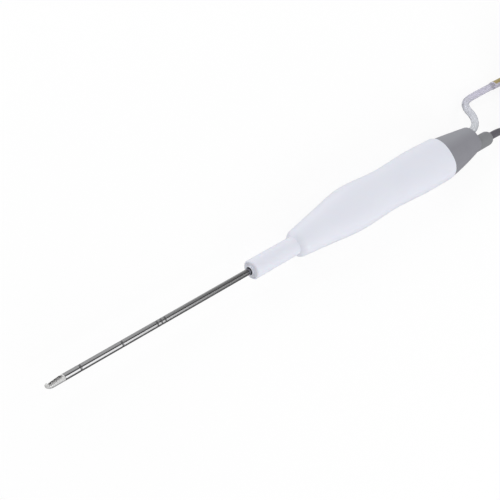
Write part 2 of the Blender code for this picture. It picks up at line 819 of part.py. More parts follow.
def make_cores():
    """The crimp on the electrode wire, and the cable's two cores inside the handle."""
    radius = CRIMP_DIAMETER / 2
    end = CRIMP_START + CRIMP_LENGTH
    waist = radius - FINE_GAP
    profile = [
        (CRIMP_START, 0.0),
        (CRIMP_START, radius),
        (CRIMP_START + CRIMP_LENGTH * 0.35, radius),
        (CRIMP_START + CRIMP_LENGTH * 0.45, waist),
        (CRIMP_START + CRIMP_LENGTH * 0.55, waist),
        (CRIMP_START + CRIMP_LENGTH * 0.65, radius),
        (end, radius),
        (end, 0.0),
    ]
    turned("active_crimp", profile, (0, -ACTIVE_CORE_DROP, 0), BRASS, steps=16)
    core = CORE_DIAMETER / 2
    round_curve("active_lead", core_line(end + SEAT_GAP, -ACTIVE_CORE_DROP, 1), core, RED)

    clip_start = HUB_START + HUB_LENGTH + SEAT_GAP
    tab_bottom = -(SHAFT_RADIUS + FINE_GAP + CLIP_THICKNESS + CLIP_TAB)
    start_x = clip_start + CLIP_WIDTH / 2
    level = start_x + (CRIMP_START - start_x) * 0.8
    rise = [Vector((start_x, tab_bottom - SEAT_GAP, 0))]
    drop = tab_bottom - SEAT_GAP + RETURN_CORE_DROP
    for step in range(1, 7):
        angle = math.pi / 2 * step / 6
        x = start_x + (level - start_x) * (1 - math.cos(angle))
        rise.append(Vector((x, tab_bottom - SEAT_GAP - drop * math.sin(angle), 0)))
    line = core_line(level, -RETURN_CORE_DROP, -1)
    round_curve("return_lead", [*rise, *line[1:]], core, BLACK)


def boot_size(x):
    """Above, below and beside the shaft's line along the boot, which tapers to its end."""
    share = min(max((x - BOOT_START) / BOOT_LENGTH, 0.0), 1.0)
    sizes = []
    for shell, step, end, belly in zip(grip_size(HANDLE_LENGTH), BOOT_STEP, BOOT_END_SIZE, BOOT_BELLY):
        start = shell - step
        sizes.append(start + share * (end - start) + 4 * belly * share * (1 - share))
    return sizes


def grip_places():
    """The rings' places along the grip: each section, and two between each pair."""
    shares = [section[0] for section in GRIP_SECTIONS]
    places = []
    for first, second in zip(shares, shares[1:]):
        places += [first + (second - first) * k / 3 for k in range(3)]
    return [SHOULDER_END + GRIP_LENGTH * share for share in [*places, shares[-1]]]


def handle_rings(inset, steps, front, turn_in, rear_inset, rear):
    """Rings of the handle's outline, set in by a wall, and by more from turn_in to the rear."""
    rings = []
    places = [x for x in grip_places() if front < x < turn_in]
    for x in [front, *places, turn_in]:
        top, bottom, side = grip_size(x)
        rings.append(oval(x, top - inset, bottom - inset, side - inset, steps))
    for x in (HANDLE_LENGTH, rear):
        top, bottom, side = boot_size(x)
        rings.append(oval(x, top - rear_inset, bottom - rear_inset, side - rear_inset, steps))
    return rings


def nose_rings(steps):
    """The straight nose with its bevelled mouth, and the shoulder that swells to the grip."""
    radius = NOSE_DIAMETER / 2
    rings = [oval(0.0, *[radius - NOSE_CHAMFER] * 3, steps, 2.0)]
    rings.append(oval(NOSE_CHAMFER, *[radius] * 3, steps, 2.0))
    rings.append(oval(NOSE_LENGTH, *[radius] * 3, steps, 2.0))
    target = grip_size(SHOULDER_END)
    for share in (0.12, 0.4, 0.7, 0.9):
        swell = math.sin(share * math.pi / 2) ** 0.8
        sizes = [radius + swell * (size - radius) for size in target]
        x = NOSE_LENGTH + share * SHOULDER_LENGTH
        rings.append(oval(x, *sizes, steps, 2.0 + (SQUARENESS - 2) * share))
    return rings


def spigot_inset():
    """How far the shells' rear rim lies inside the handle's outline, to enter the boot."""
    return BOOT_WALL + SEAT_GAP


def make_cavity(name, side):
    """What is hollow in a shell: the inside of the wall without its ribs and bosses."""
    wall = SHELL_WALL
    rim = spigot_inset() + SPIGOT_RIM_WALL
    rear = HANDLE_LENGTH + SPIGOT_RIM_LENGTH + SEAT_GAP
    rings = handle_rings(wall, CAVITY_STEPS, SHOULDER_END + wall, HANDLE_LENGTH - wall, rim, rear)
    cavity = loft(name + "_cavity_cutter", rings)
    deep = REST_HEIGHT * 2
    tall = WIDEST_TOP * 2
    flange = hub_flange_start()
    adapter = adapter_flange_start()
    ribs = [
        flange - SEAT_GAP - RIB_THICKNESS,
        flange + HUB_FLANGE_WIDTH + SEAT_GAP,
        adapter - SEAT_GAP - RIB_THICKNESS,
        adapter + ADAPTER_FLANGE_WIDTH + SEAT_GAP,
        *HOSE_RIBS,
    ]
    for k, start in enumerate(ribs):
        rib = block(f"{name}_rib_{k + 1}", (start, -tall, -deep), (start + RIB_THICKNESS, tall, deep))
        boolean(cavity, rib)
    for k, (x, y) in enumerate(BOSS_PLACES):
        boss = rod(f"{name}_boss_{k + 1}", BOSS_DIAMETER / 2, (x, y, 0), (x, y, side * deep), steps=16)
        boolean(cavity, boss)
    return cavity


def make_shell(name, side, channels):
    """One moulded half of the handle, with its nose, ribs, bosses and rear rim."""
    inset = spigot_inset()
    rear = HANDLE_LENGTH + SPIGOT_RIM_LENGTH
    rings = nose_rings(SHELL_STEPS)
    rings += handle_rings(0.0, SHELL_STEPS, SHOULDER_END, HANDLE_LENGTH, inset, rear)
    shell = loft(name, rings, WHITE)
    boolean(shell, make_cavity(name, side))
    for channel in channels:
        boolean(shell, channel)
    deep = REST_HEIGHT * 3
    gap = SEAT_GAP / 2
    low, high = (-deep, gap) if side > 0 else (-gap, deep)
    away = block(name + "_split_cutter", (-deep, -deep, low), (HANDLE_LENGTH + deep, deep, high))
    boolean(shell, away)
    for k, (x, y) in enumerate(BOSS_PLACES):
        if side > 0:
            ends = ((x, y, -PIN_LENGTH), (x, y, PIN_LENGTH))
            pin = rod(f"{name}_pin_{k + 1}", PIN_DIAMETER / 2, *ends, steps=12)
            boolean(shell, pin, "UNION")
        else:
            depth = PIN_LENGTH + SEAT_GAP
            hole = rod(
                f"{name}_socket_{k + 1}",
                PIN_DIAMETER / 2 + FINE_GAP,
                (x, y, -depth),
                (x, y, depth),
                steps=12,
            )
            boolean(shell, hole)


def make_shells():
    """Both halves, cut by the same channels for what they hold."""
    bushing_end = BUSHING_LENGTH + SEAT_GAP
    hub_end = HUB_START + HUB_LENGTH
    clear = SEAT_GAP
    channels = [
        rod("bushing_bore_cutter", BUSHING_DIAMETER / 2 + clear, (-clear * 5, 0, 0), (bushing_end, 0, 0)),
        rod("shaft_bore_cutter", SHAFT_RADIUS + clear, (0, 0, 0), (HUB_START, 0, 0)),
        rod(
            "nose_core_cutter",
            NOSE_DIAMETER / 2 - SHELL_WALL,
            (bushing_end + RIB_THICKNESS, 0, 0),
            (SHOULDER_END + 2 * SHELL_WALL, 0, 0),
        ),
        rod("hub_bore_cutter", HUB_DIAMETER / 2 + clear, (HUB_START - clear, 0, 0), (hub_end, 0, 0)),
        rod(
            "adapter_bore_cutter",
            ADAPTER_BODY / 2 + clear,
            (ADAPTER_START - clear, LUMEN_RISE, 0),
            (ADAPTER_START + ADAPTER_LENGTH + clear, LUMEN_RISE, 0),
        ),
    ]
    core = CORE_DIAMETER / 2 + clear
    for k, start in enumerate(HOSE_RIBS):
        middle = start + RIB_THICKNESS / 2
        y = hose_y(middle)
        ends = ((middle - RIB_THICKNESS, y, 0), (middle + RIB_THICKNESS, y, 0))
        channels.append(rod(f"hose_slot_{k + 1}_cutter", HOSE_DIAMETER / 2 + clear * 2, *ends))
    slot_start = adapter_flange_start() - RIB_THICKNESS * 2
    slot_end = HOSE_RIBS[-1] + RIB_THICKNESS * 2
    slot_top = -ACTIVE_CORE_DROP + CRIMP_DIAMETER / 2 + clear
    slot_low = (slot_start, -RETURN_CORE_DROP - core, -core - clear * 2)
    channels.append(block("core_slot_cutter", slot_low, (slot_end, slot_top, core + clear * 2)))
    make_shell("handle_shell_right", 1, channels)
    make_shell("handle_shell_left", -1, channels)


def boot_rings(inset, steps, start, end, edge):
    """Rings of the boot, set in by a wall, with a rounded edge at the rear if asked."""
    places = [(start + (end - edge - start) * k / BOOT_SECTIONS, inset) for k in range(BOOT_SECTIONS + 1)]
    if edge:
        for k in range(1, 4):
            angle = math.pi / 2 * k / 3
            places.append((end - edge * (1 - math.sin(angle)), inset + edge * (1 - math.cos(angle))))
    return [oval(x, *[size - pull for size in boot_size(x)], steps) for x, pull in places]


def make_boot():
    """The grey boot: a tapered cup over the shells' rim, with holes for gland and hose."""
    boot = loft("rear_boot", boot_rings(0.0, SHELL_STEPS, BOOT_START, BOOT_END, BOOT_EDGE), BOOT_GREY)
    hollow = boot_rings(BOOT_WALL, CAVITY_STEPS, BOOT_START - BOOT_WALL, BOOT_END - BOOT_WALL, 0.0)
    boolean(boot, loft("boot_cavity_cutter", hollow))
    for name, y, radius in (
        ("boot_gland_cutter", GLAND_Y, GLAND_NECK / 2 + SEAT_GAP),
        ("boot_hose_cutter", HOSE_OUTLET_Y, HOSE_DIAMETER / 2 + SEAT_GAP),
    ):
        boolean(boot, rod(name, radius, (BOOT_END - 2 * BOOT_WALL, y, 0), (BOOT_END + BOOT_WALL, y, 0)))


def make_gland():
    """The strain relief moulded on the cable: a rounded barrel with a neck and a flange."""
    front = gland_front()
    barrel = BOOT_END + SEAT_GAP
    radius = GLAND_DIAMETER / 2
    mouth = CABLE_DIAMETER / 2 + FINE_GAP
    profile = [
        (front, 0.0),
        (front, GLAND_FLANGE / 2),
        (front + GLAND_FLANGE_WIDTH, GLAND_FLANGE / 2),
        (front + GLAND_FLANGE_WIDTH, GLAND_NECK / 2),
        (barrel, GLAND_NECK / 2),
        (barrel, radius),
        (GLAND_END - GLAND_ROUNDING, radius),
    ]
    drop = min(GLAND_ROUNDING, radius - mouth - FINE_GAP * 2)
    for k in range(1, 6):
        angle = math.pi / 2 * k / 5
        x = GLAND_END - GLAND_ROUNDING * (1 - math.sin(angle))
        profile.append((x, radius - drop * (1 - math.cos(angle))))
    profile += [
        (GLAND_END, mouth),
        (GLAND_END - GLAND_RECESS, mouth),
        (GLAND_END - GLAND_RECESS, 0.0),
    ]
    turned("cable_gland", profile, (0, GLAND_Y, 0), BOOT_GREY)


def hank_radius(diameter):
    """Half the outer width of a hank: the fold, then the turns that lie across it."""
    return FOLD_DIAMETERS * diameter + (TURNS_ACROSS - 0.5) * diameter


def hank_height(diameter):
    return LAYERS * diameter


def floor(height):
    """A height above the surface that the wand lies on, as a z in the wand's axes."""
    return height - REST_HEIGHT


CABLE_HANK_X = GLAND_END + CABLE_HANK_START
CABLE_HANK_END = CABLE_HANK_X + CABLE_HANK_RUN + 2 * hank_radius(CABLE_DIAMETER)
TUBE_HANK_X = CABLE_HANK_END + HANK_SPACING
TUBE_LINE_Y = CABLE_HANK_Y + hank_radius(CABLE_DIAMETER) + TIE_THICKNESS + 2 * SEAT_GAP + HOSE_DIAMETER / 2
TUBE_HANK_Y = TUBE_LINE_Y - hank_radius(HOSE_DIAMETER) + HOSE_DIAMETER / 2


def make_hank(name, start, y, run, diameter, material):
    """The outer form of a folded and tied length: round ends and rounded edges."""
    radius = hank_radius(diameter)
    outline = stadium(run + 2 * radius, 2 * radius, radius, 8)
    hank = flat_curve(name, [outline], hank_height(diameter), material, diameter / 2)
    middle = start + radius + run / 2
    hank.location = (middle, y, floor(HANK_LIFT + hank_height(diameter) / 2))
    return middle


def make_tie(name, middle, y, diameter, material):
    """A soft strap closed round the middle of a hank."""
    width = 2 * (hank_radius(diameter) + SEAT_GAP)
    height = hank_height(diameter) + 2 * SEAT_GAP
    outer = stadium(height + 2 * TIE_THICKNESS, width + 2 * TIE_THICKNESS, diameter / 2 + TIE_THICKNESS, 4)
    inner = stadium(height, width, diameter / 2, 4)
    tie = flat_curve(name, [outer, inner], TIE_WIDTH, material)
    tie.location = (middle, y, floor(TIE_THICKNESS + height / 2))
    tie.rotation_euler = (0.0, math.radians(90), 0.0)


def make_cable():
    """The cable from the gland down to the surface, its hank, and the tail to the plug."""
    radius = CABLE_DIAMETER / 2
    lying = floor(radius)
    route = [
        (-GLAND_RECESS + SEAT_GAP, 0.0, 0.0),
        (0.3 * MM, 0.0, 0.0),
        (4.0 * MM, 0.0, -0.1 * MM),
        (10.0 * MM, -0.1 * MM, -1.2 * MM),
        (17.0 * MM, -0.3 * MM, -3.9 * MM),
        (24.0 * MM, -0.7 * MM, -7.0 * MM),
        (31.0 * MM, -1.7 * MM, lying + 0.8 * MM),
        (38.0 * MM, -3.8 * MM, lying),
        (45.0 * MM, -7.0 * MM, lying),
        (52.0 * MM, -10.4 * MM, lying),
        (56.0 * MM, -12.3 * MM, lying),
    ]
    points = [(GLAND_END + x, GLAND_Y + y, z) for x, y, z in route]
    line = [Vector(points[0]), *smooth_route(points[1:], 2.0 * CABLE_DIAMETER)]
    round_curve("power_cable", line, radius, CABLE_GREY, 3)
    middle = make_hank("cable_hank", CABLE_HANK_X, CABLE_HANK_Y, CABLE_HANK_RUN, CABLE_DIAMETER, CABLE_GREY)
    make_tie("cable_tie", middle, CABLE_HANK_Y, CABLE_DIAMETER, BLACK)


def plug_place():
    """The plug's front end, its height and its side place: it lies on the cable's hank."""
    x = CABLE_HANK_X + PLUG_FROM_HANK_END
    top = HANK_LIFT + hank_height(CABLE_DIAMETER)
    return x, CABLE_HANK_Y, floor(top + SEAT_GAP + PLUG_HEIGHT / 2)


def make_plug():
    """The flat plug: a shell with grip grooves, an insert with two rows of pins, a relief."""
    front, y, z = plug_place()
    rear = front + PLUG_LENGTH
    shell = block(
        "plug_shell",
        (front, y - PLUG_WIDTH / 2, z - PLUG_HEIGHT / 2),
        (rear, y + PLUG_WIDTH / 2, z + PLUG_HEIGHT / 2),
        BOOT_GREY,
    )
    edge = shell.modifiers.new("edge", "BEVEL")
    edge.width = PLUG_EDGE
    edge.segments = 4
    wide = PLUG_WIDTH / 2 - PLUG_WALL
    high = PLUG_HEIGHT / 2 - PLUG_WALL
    mouth = block(
        "plug_mouth_cutter",
        (front - PLUG_WALL, y - wide, z - high),
        (front + PLUG_MOUTH, y + wide, z + high),
    )
    boolean(shell, mouth)
    for k in range(GRIP_GROOVES):
        start = rear - PLUG_EDGE * 2 - GRIP_GROOVE_WIDTH - k * GRIP_GROOVE_PITCH
        for side in (-1, 1):
            surface = z + side * PLUG_HEIGHT / 2
            low, high_z = sorted((surface - side * GRIP_GROOVE_DEPTH, surface + side * GRIP_GROOVE_DEPTH))
            groove = block(
                f"plug_groove_{k + 1}_{'top' if side > 0 else 'under'}",
                (start, y - PLUG_WIDTH / 4, low),
                (start + GRIP_GROOVE_WIDTH, y + PLUG_WIDTH / 4, high_z),
            )
            boolean(shell, groove)

    deep = front + PLUG_MOUTH
    thick = PLUG_MOUTH / 4
    insert = block(
        "plug_insert",
        (deep - SEAT_GAP - thick, y - wide + SEAT_GAP, z - high + SEAT_GAP),
        (deep - SEAT_GAP, y + wide - SEAT_GAP, z + high - SEAT_GAP),
        BLACK,
    )
    places = []
    for row in range(PIN_ROWS):
        for column in range(PIN_COLUMNS):
            across = (column - (PIN_COLUMNS - 1) / 2) * PLUG_PIN_PITCH
            up = (row - (PIN_ROWS - 1) / 2) * PLUG_ROW_PITCH
            places.append((y + across, z + up))
    for k, (pin_y, pin_z) in enumerate(places):
        hole = rod(
            f"insert_hole_{k + 1}",
            PLUG_PIN_DIAMETER / 2 + FINE_GAP,
            (deep - 2 * thick, pin_y, pin_z),
            (deep, pin_y, pin_z),
            steps=12,
        )
        boolean(insert, hole)
    rear_of_pins = deep - SEAT_GAP
    for k, (pin_y, pin_z) in enumerate(places):
        rod(
            f"plug_pin_{k + 1}",
            PLUG_PIN_DIAMETER / 2,
            (rear_of_pins - PLUG_PIN_LENGTH, pin_y, pin_z),
            (rear_of_pins, pin_y, pin_z),
            BRASS,
            steps=12,
        )

    start = rear + SEAT_GAP
    ribs = 5
    pitch = RELIEF_LENGTH / (ribs + 1)
    profile = [(start, 0.0)]
    for k in range(ribs + 1):
        share = k / (ribs + 1)
        size = (RELIEF_WIDE + (RELIEF_NARROW - RELIEF_WIDE) * share) / 2
        x = start + k * pitch
        waist = size - SEAT_GAP * 2
        profile += [(x, size), (x + pitch * 0.6, size), (x + pitch * 0.6, waist), (x + pitch, waist)]
    mouth_radius = CABLE_DIAMETER / 2 + FINE_GAP
    end = start + RELIEF_LENGTH
    profile += [(end, mouth_radius), (end - pitch / 2, mouth_radius), (end - pitch / 2, 0.0)]
    turned("plug_relief", profile, (0, y, z), BOOT_GREY, steps=16)

    radius = CABLE_DIAMETER / 2
    low = floor(HANK_LIFT + hank_height(CABLE_DIAMETER) + SEAT_GAP + radius)
    tail = [
        (end - pitch / 2 + SEAT_GAP, y, z),
        (end + 3.0 * MM, y + 0.2 * MM, z - 0.2 * MM),
        (end + 10.0 * MM, y + 1.6 * MM, (z + low) / 2),
        (end + 19.0 * MM, y + 5.0 * MM, low + 0.3 * MM),
        (end + 26.0 * MM, y + 8.2 * MM, low),
    ]
    round_curve("cable_tail", smooth_route(tail, 1.2 * CABLE_DIAMETER), radius, CABLE_GREY, 3)


def make_suction_tube():
    """The clear tube: out of the boot, an S-bend to the surface, its hank and its tail."""
    radius = HOSE_DIAMETER / 2
    lying = floor(radius)
    collar_level = floor(radius + SEAT_GAP + COLLAR_WALL)
    route = [
        (-BOOT_WALL / 2 + SEAT_GAP, HOSE_OUTLET_Y, 0.0),
        (0.8 * MM, HOSE_OUTLET_Y, 0.0),
        (6.0 * MM, HOSE_OUTLET_Y + 0.3 * MM, -0.15 * MM),
        (11.2 * MM, 9.1 * MM, -0.7 * MM),
        (15.6 * MM, 11.4 * MM, -1.5 * MM),
        (18.8 * MM, 14.9 * MM, -2.6 * MM),
        (20.3 * MM, 19.0 * MM, -4.0 * MM),
        (21.0 * MM, 22.8 * MM, -5.6 * MM),
        (23.0 * MM, 26.2 * MM, -7.2 * MM),
        (26.8 * MM, 28.6 * MM, -8.6 * MM),
        (32.0 * MM, 29.8 * MM, lying + 0.8 * MM),
        (39.0 * MM, 30.3 * MM, lying + 0.2 * MM),
        (50.0 * MM, 30.5 * MM, lying + 0.1 * MM),
        (COLLAR_PLACE, COLLAR_Y, collar_level),
        (COLLAR_PLACE + COLLAR_LENGTH, COLLAR_Y, collar_level),
        (COLLAR_PLACE + 2.6 * COLLAR_LENGTH, TUBE_LINE_Y, lying),
    ]
    points = [(BOOT_END + x, y, z) for x, y, z in route]
    hank_start = TUBE_HANK_X + TUBE_RUN_IN * hank_radius(HOSE_DIAMETER)
    straight = points[-1][0]
    for share in (0.33, 0.66, 1.0):
        points.append((straight + share * (hank_start - straight), TUBE_LINE_Y, lying))
    line = [Vector(points[0]), *smooth_route(points[1:], 2.0 * HOSE_DIAMETER)]
    round_curve("suction_tube", line, radius, CLEAR, 3)

    start = BOOT_END + COLLAR_PLACE
    inner = radius + SEAT_GAP
    outer = inner + COLLAR_WALL
    profile = [(start, outer), (start + COLLAR_LENGTH, outer), (start + COLLAR_LENGTH, inner), (start, inner)]
    turned("tube_collar", profile, (0, COLLAR_Y, collar_level), AMBER)

    middle = make_hank("tube_hank", TUBE_HANK_X, TUBE_HANK_Y, TUBE_HANK_RUN, HOSE_DIAMETER, CLEAR)
    make_tie("tube_tie", middle, TUBE_HANK_Y, HOSE_DIAMETER, BLACK)


def make_connector():
    """The tube's end fitting: a soft funnel with grip rings, lying beside the hank."""
    radius = CONNECTOR_DIAMETER / 2
    y = TUBE_HANK_Y - hank_radius(HOSE_DIAMETER) - TIE_THICKNESS - 2 * SEAT_GAP - radius
    z = floor(radius)
    rear = TUBE_HANK_X + hank_radius(HOSE_DIAMETER) + TUBE_HANK_RUN / 2 - TIE_WIDTH
    front = rear - CONNECTOR_LENGTH
    neck = CONNECTOR_NECK / 2
    bore = CONNECTOR_BORE / 2
    hose = HOSE_DIAMETER / 2 + FINE_GAP
    floor_of_bore = front + CONNECTOR_DEPTH
    profile = [
        (front, radius - SEAT_GAP),
        (front + SEAT_GAP, radius),
        (front + 3.0 * MM, radius),
        (front + 3.6 * MM, radius - 0.8 * MM),
    ]
    for k in range(3):
        ring = front + (9.0 + 4.0 * k) * MM
        profile += [(ring, radius - 0.9 * MM), (ring + 0.6 * MM, radius - 0.3 * MM)]
        profile += [(ring + 2.2 * MM, radius - 0.3 * MM), (ring + 2.8 * MM, radius - 0.9 * MM)]
    profile += [
        (floor_of_bore + 2.0 * MM, radius - 1.0 * MM),
        (floor_of_bore + 6.0 * MM, neck),
        (rear, neck),
        (rear, hose),
        (rear - 6.0 * MM, hose),
        (rear - 6.0 * MM, HOSE_BORE / 2),
        (floor_of_bore, HOSE_BORE / 2),
        (floor_of_bore, bore - SEAT_GAP),
        (front, bore),
    ]
    turned("suction_connector", profile, (0, y, z), CLEAR, steps=20)

    hank_side = TUBE_HANK_Y - hank_radius(HOSE_DIAMETER) - SEAT_GAP - HOSE_DIAMETER / 2
    start = rear - 6.0 * MM + SEAT_GAP
    lying = floor(HOSE_DIAMETER / 2)
    tail = [
        (start, y, z),
        (rear + 3.0 * MM, y, z - 0.2 * MM),
        (rear + 14.0 * MM, y + 0.1 * (hank_side - y), z - 2.2 * MM),
        (rear + 26.0 * MM, y + 0.6 * (hank_side - y), lying + 0.2 * MM),
        (rear + 38.0 * MM, hank_side, lying),
    ]
    round_curve("tube_tail", smooth_route(tail, 1.5 * HOSE_DIAMETER), HOSE_DIAMETER / 2, CLEAR, 3)


make_shaft()
LEG_X = make_tip()
make_screen(LEG_X)
make_lumen_and_wire(LEG_X)
make_bushing()
make_hub_and_clip()
make_adapter()
make_inner_hose()
make_cores()
make_shells()
make_boot()
make_gland()
make_cable()
make_plug()
make_suction_tube()
make_connector()
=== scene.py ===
"""Plasma ablation wand, dressed for its picture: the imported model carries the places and
the sizes, and each section below gives one piece its finished form and surface."""

import math

import bmesh
import bpy
from mathutils import Matrix, Vector


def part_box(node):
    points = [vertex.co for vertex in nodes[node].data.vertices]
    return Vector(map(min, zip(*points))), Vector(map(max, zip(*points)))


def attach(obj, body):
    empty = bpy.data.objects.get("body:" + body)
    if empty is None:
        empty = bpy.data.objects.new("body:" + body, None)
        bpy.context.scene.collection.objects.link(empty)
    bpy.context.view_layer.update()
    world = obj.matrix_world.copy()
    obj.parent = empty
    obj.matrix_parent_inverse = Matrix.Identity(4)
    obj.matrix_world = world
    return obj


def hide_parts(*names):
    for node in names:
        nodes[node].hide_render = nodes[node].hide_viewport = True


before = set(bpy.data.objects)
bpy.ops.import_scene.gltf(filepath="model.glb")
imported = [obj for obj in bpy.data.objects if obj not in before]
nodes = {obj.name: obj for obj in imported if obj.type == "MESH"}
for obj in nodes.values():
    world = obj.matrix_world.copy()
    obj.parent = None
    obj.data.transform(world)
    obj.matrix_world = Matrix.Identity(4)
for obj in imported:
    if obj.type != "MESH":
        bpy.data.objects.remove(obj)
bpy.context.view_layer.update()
MM = 0.001


# The camera and the studio: a white sweep, seen from above at the tip's end, with broad
# soft lamps. The camera stands where the shaft, the handle and the boot fall as they do in
# the picture. Places are given in the wand's own millimetres, from the mouth of its nose.
SHAFT_LOW, SHAFT_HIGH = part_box("shaft_tube")
MOUTH = Vector(
    (
        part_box("handle_shell_right")[0].x,
        (SHAFT_LOW.y + SHAFT_HIGH.y) / 2,
        (SHAFT_LOW.z + SHAFT_HIGH.z) / 2,
    )
)


def wand(x, y, z):
    """A point in the wand's millimetres, as a place in the scene."""
    return MOUTH + Vector((x, y, z)) * MM


def stand(name, data):
    """A new object in the scene, from its mesh, curve, camera or lamp."""
    item = bpy.data.objects.new(name, data)
    bpy.context.scene.collection.objects.link(item)
    return item


CAMERA_AT = wand(-253.0, 10.23, 381.56)
CAMERA_TILT = math.radians(34.2)
CAMERA_ROLL = math.radians(28.93)
FOCAL_LENGTH = 58.39

camera_data = bpy.data.cameras.new("camera")
camera_data.lens = FOCAL_LENGTH
camera_data.clip_start = 0.01
camera_data.clip_end = 20.0
camera = stand("camera", camera_data)
tilt_c, tilt_s = math.cos(CAMERA_TILT), math.sin(CAMERA_TILT)
roll_c, roll_s = math.cos(CAMERA_ROLL), math.sin(CAMERA_ROLL)
along = Vector((tilt_c * roll_c, tilt_c * roll_s, -tilt_s))
across = Vector((-roll_s, roll_c, 0.0))
turned_view = Matrix((along, across, along.cross(across))).to_4x4()
camera.matrix_world = Matrix.Translation(CAMERA_AT) @ turned_view
bpy.context.scene.camera = camera
bpy.context.scene.view_settings.view_transform = "Standard"


class Wire:
    """A socket that takes part in sums: each operator adds its own Math node."""

    def __init__(self, tree, socket):
        self.tree = tree
        self.socket = socket

    def maths(self, operation, *others):
        values = {0: self, **{k + 1: other for k, other in enumerate(others)}}
        return self.tree.node("ShaderNodeMath", {"operation": operation}, values).out()

    def __add__(self, other):
        return self.maths("ADD", other)

    __radd__ = __add__

    def __mul__(self, other):
        return self.maths("MULTIPLY", other)

    __rmul__ = __mul__

    def __sub__(self, other):
        return self.maths("SUBTRACT", other)

    def __rsub__(self, other):
        return self.tree.node("ShaderNodeMath", {"operation": "SUBTRACT"}, {0: other, 1: self}).out()

    def __truediv__(self, other):
        return self.maths("DIVIDE", other)

    def __rtruediv__(self, other):
        return self.tree.node("ShaderNodeMath", {"operation": "DIVIDE"}, {0: other, 1: self}).out()

    def __pow__(self, other):
        return self.maths("POWER", other)

    def __gt__(self, other):
        return self.maths("GREATER_THAN", other)

    def __lt__(self, other):
        return self.maths("LESS_THAN", other)

    def clamp(self):
        return self.maths("MAXIMUM", 0.0).maths("MINIMUM", 1.0)


class Placed:
    """A node that has been added, with a short way to its outputs."""

    def __init__(self, tree, node):
        self.tree = tree
        self.made = node

    def out(self, name=0):
        if isinstance(name, int):
            return Wire(self.tree, self.made.outputs[name])
        found = [s for s in self.made.outputs if name in (s.identifier, s.name) and s.enabled]
        return Wire(self.tree, found[0])


class Tree:
    """A node tree of a material, the world or Geometry Nodes: every node comes from node()."""

    def __init__(self, tree):
        self.tree = tree

    def node(self, kind, settings=None, sockets=None):
        made = self.tree.nodes.new(kind)
        for name, value in (settings or {}).items():
            if name == "stops":
                ramp = made.color_ramp.elements
                while len(ramp) < len(value):
                    ramp.new(0.5)
                for element, (place, colour) in zip(ramp, value):
                    element.position = place
                    element.color = (*colour, 1.0)
            else:
                setattr(made, name, value)
        for name, value in (sockets or {}).items():
            if isinstance(name, int):
                socket = made.inputs[name]
            else:
                socket = next(s for s in made.inputs if name in (s.identifier, s.name) and s.enabled)
            if isinstance(value, Placed):
                value = value.out()
            if isinstance(value, Wire):
                self.tree.links.new(value.socket, socket)
            else:
                socket.default_value = value
        return Placed(self, made)


def new_surface(name, base, roughness, **constants):
    """A material with one Principled shader, its tree and that shader."""
    material = bpy.data.materials.new(name)
    material.use_nodes = True
    material.node_tree.nodes.clear()
    tree = Tree(material.node_tree)
    sockets = {"Base Color": (*base, 1.0), "Roughness": roughness}
    sockets.update({key.replace("_", " "): value for key, value in constants.items()})
    shader = tree.node("ShaderNodeBsdfPrincipled", None, sockets)
    tree.node("ShaderNodeOutputMaterial", None, {"Surface": shader})
    return material, tree, shader


def feed(tree, shader, **links):
    """Links varying values or colours to the shader's sockets."""
    for name, wire in links.items():
        tree.tree.links.new(wire.socket, shader.made.inputs[name.replace("_", " ")])


def mixed(tree, amount, first, second):
    """A colour between two, each a colour or a link."""
    pair = [(*side, 1.0) if isinstance(side, tuple) else side for side in (first, second)]
    sockets = {"Factor_Float": amount, "A_Color": pair[0], "B_Color": pair[1]}
    return tree.node("ShaderNodeMix", {"data_type": "RGBA"}, sockets).out("Result_Color")


def parts_of(tree, place):
    """The three coordinates of a place, each as a link of its own."""
    made = tree.node("ShaderNodeSeparateXYZ", None, {"Vector": place})
    return made.out("X"), made.out("Y"), made.out("Z")


WORLD_LEVEL = 0.57
WALL_DIM = 0.12
FALL_START, FALL_OVER, FALL_SHARE = 0.405, 0.085, 0.95
world = bpy.data.worlds.new("studio")
bpy.context.scene.world = world
world.use_nodes = True
world.node_tree.nodes.clear()
sky = Tree(world.node_tree)
rays = sky.node("ShaderNodeLightPath")
sky_x, sky_y, sky_z = parts_of(sky, sky.node("ShaderNodeTexCoord").out("Generated"))
overhead = sky_y.maths("ARCTAN2", sky_z) / (2 * math.pi) + 0.5
# What polished metal sees: a white wall low on the near side, a dark strip overhead and a
# grey wall on the far side, each as a share of the turn about the wand's length
walls = ((0.0, WALL_DIM), (0.305, WALL_DIM), (0.34, 1.2), (0.465, 1.2), (0.492, 0.04))
walls += ((0.565, 0.04), (0.60, 0.42), (0.74, 0.42), (1.0, 0.4))
stops = [(place, (level, level, level)) for place, level in walls]
wall = sky.node("ShaderNodeValToRGB", {"stops": stops}, {"Fac": overhead}).out("Color")
# The walls fall off towards the rear, where the shaft's bright line dies away
fall_off = ((sky_x - FALL_START) / FALL_OVER).clamp()
wall = wall - (wall - WALL_DIM).maths("MAXIMUM", 0.0) * fall_off * FALL_SHARE
studio_walls = sky.node("ShaderNodeCombineColor", None, {"Red": wall, "Green": wall, "Blue": wall}).out()
seen = (rays.out("Is Camera Ray") + rays.out("Is Transmission Ray")).clamp()
level = seen * (1.0 - WORLD_LEVEL) + WORLD_LEVEL
plain = sky.node("ShaderNodeCombineColor", None, {"Red": level, "Green": level, "Blue": level}).out()
shown = mixed(sky, rays.out("Is Glossy Ray"), plain, studio_walls)
backdrop = sky.node("ShaderNodeBackground", None, {"Color": shown, "Strength": 1.0})
sky.node("ShaderNodeOutputWorld", None, {"Surface": backdrop})

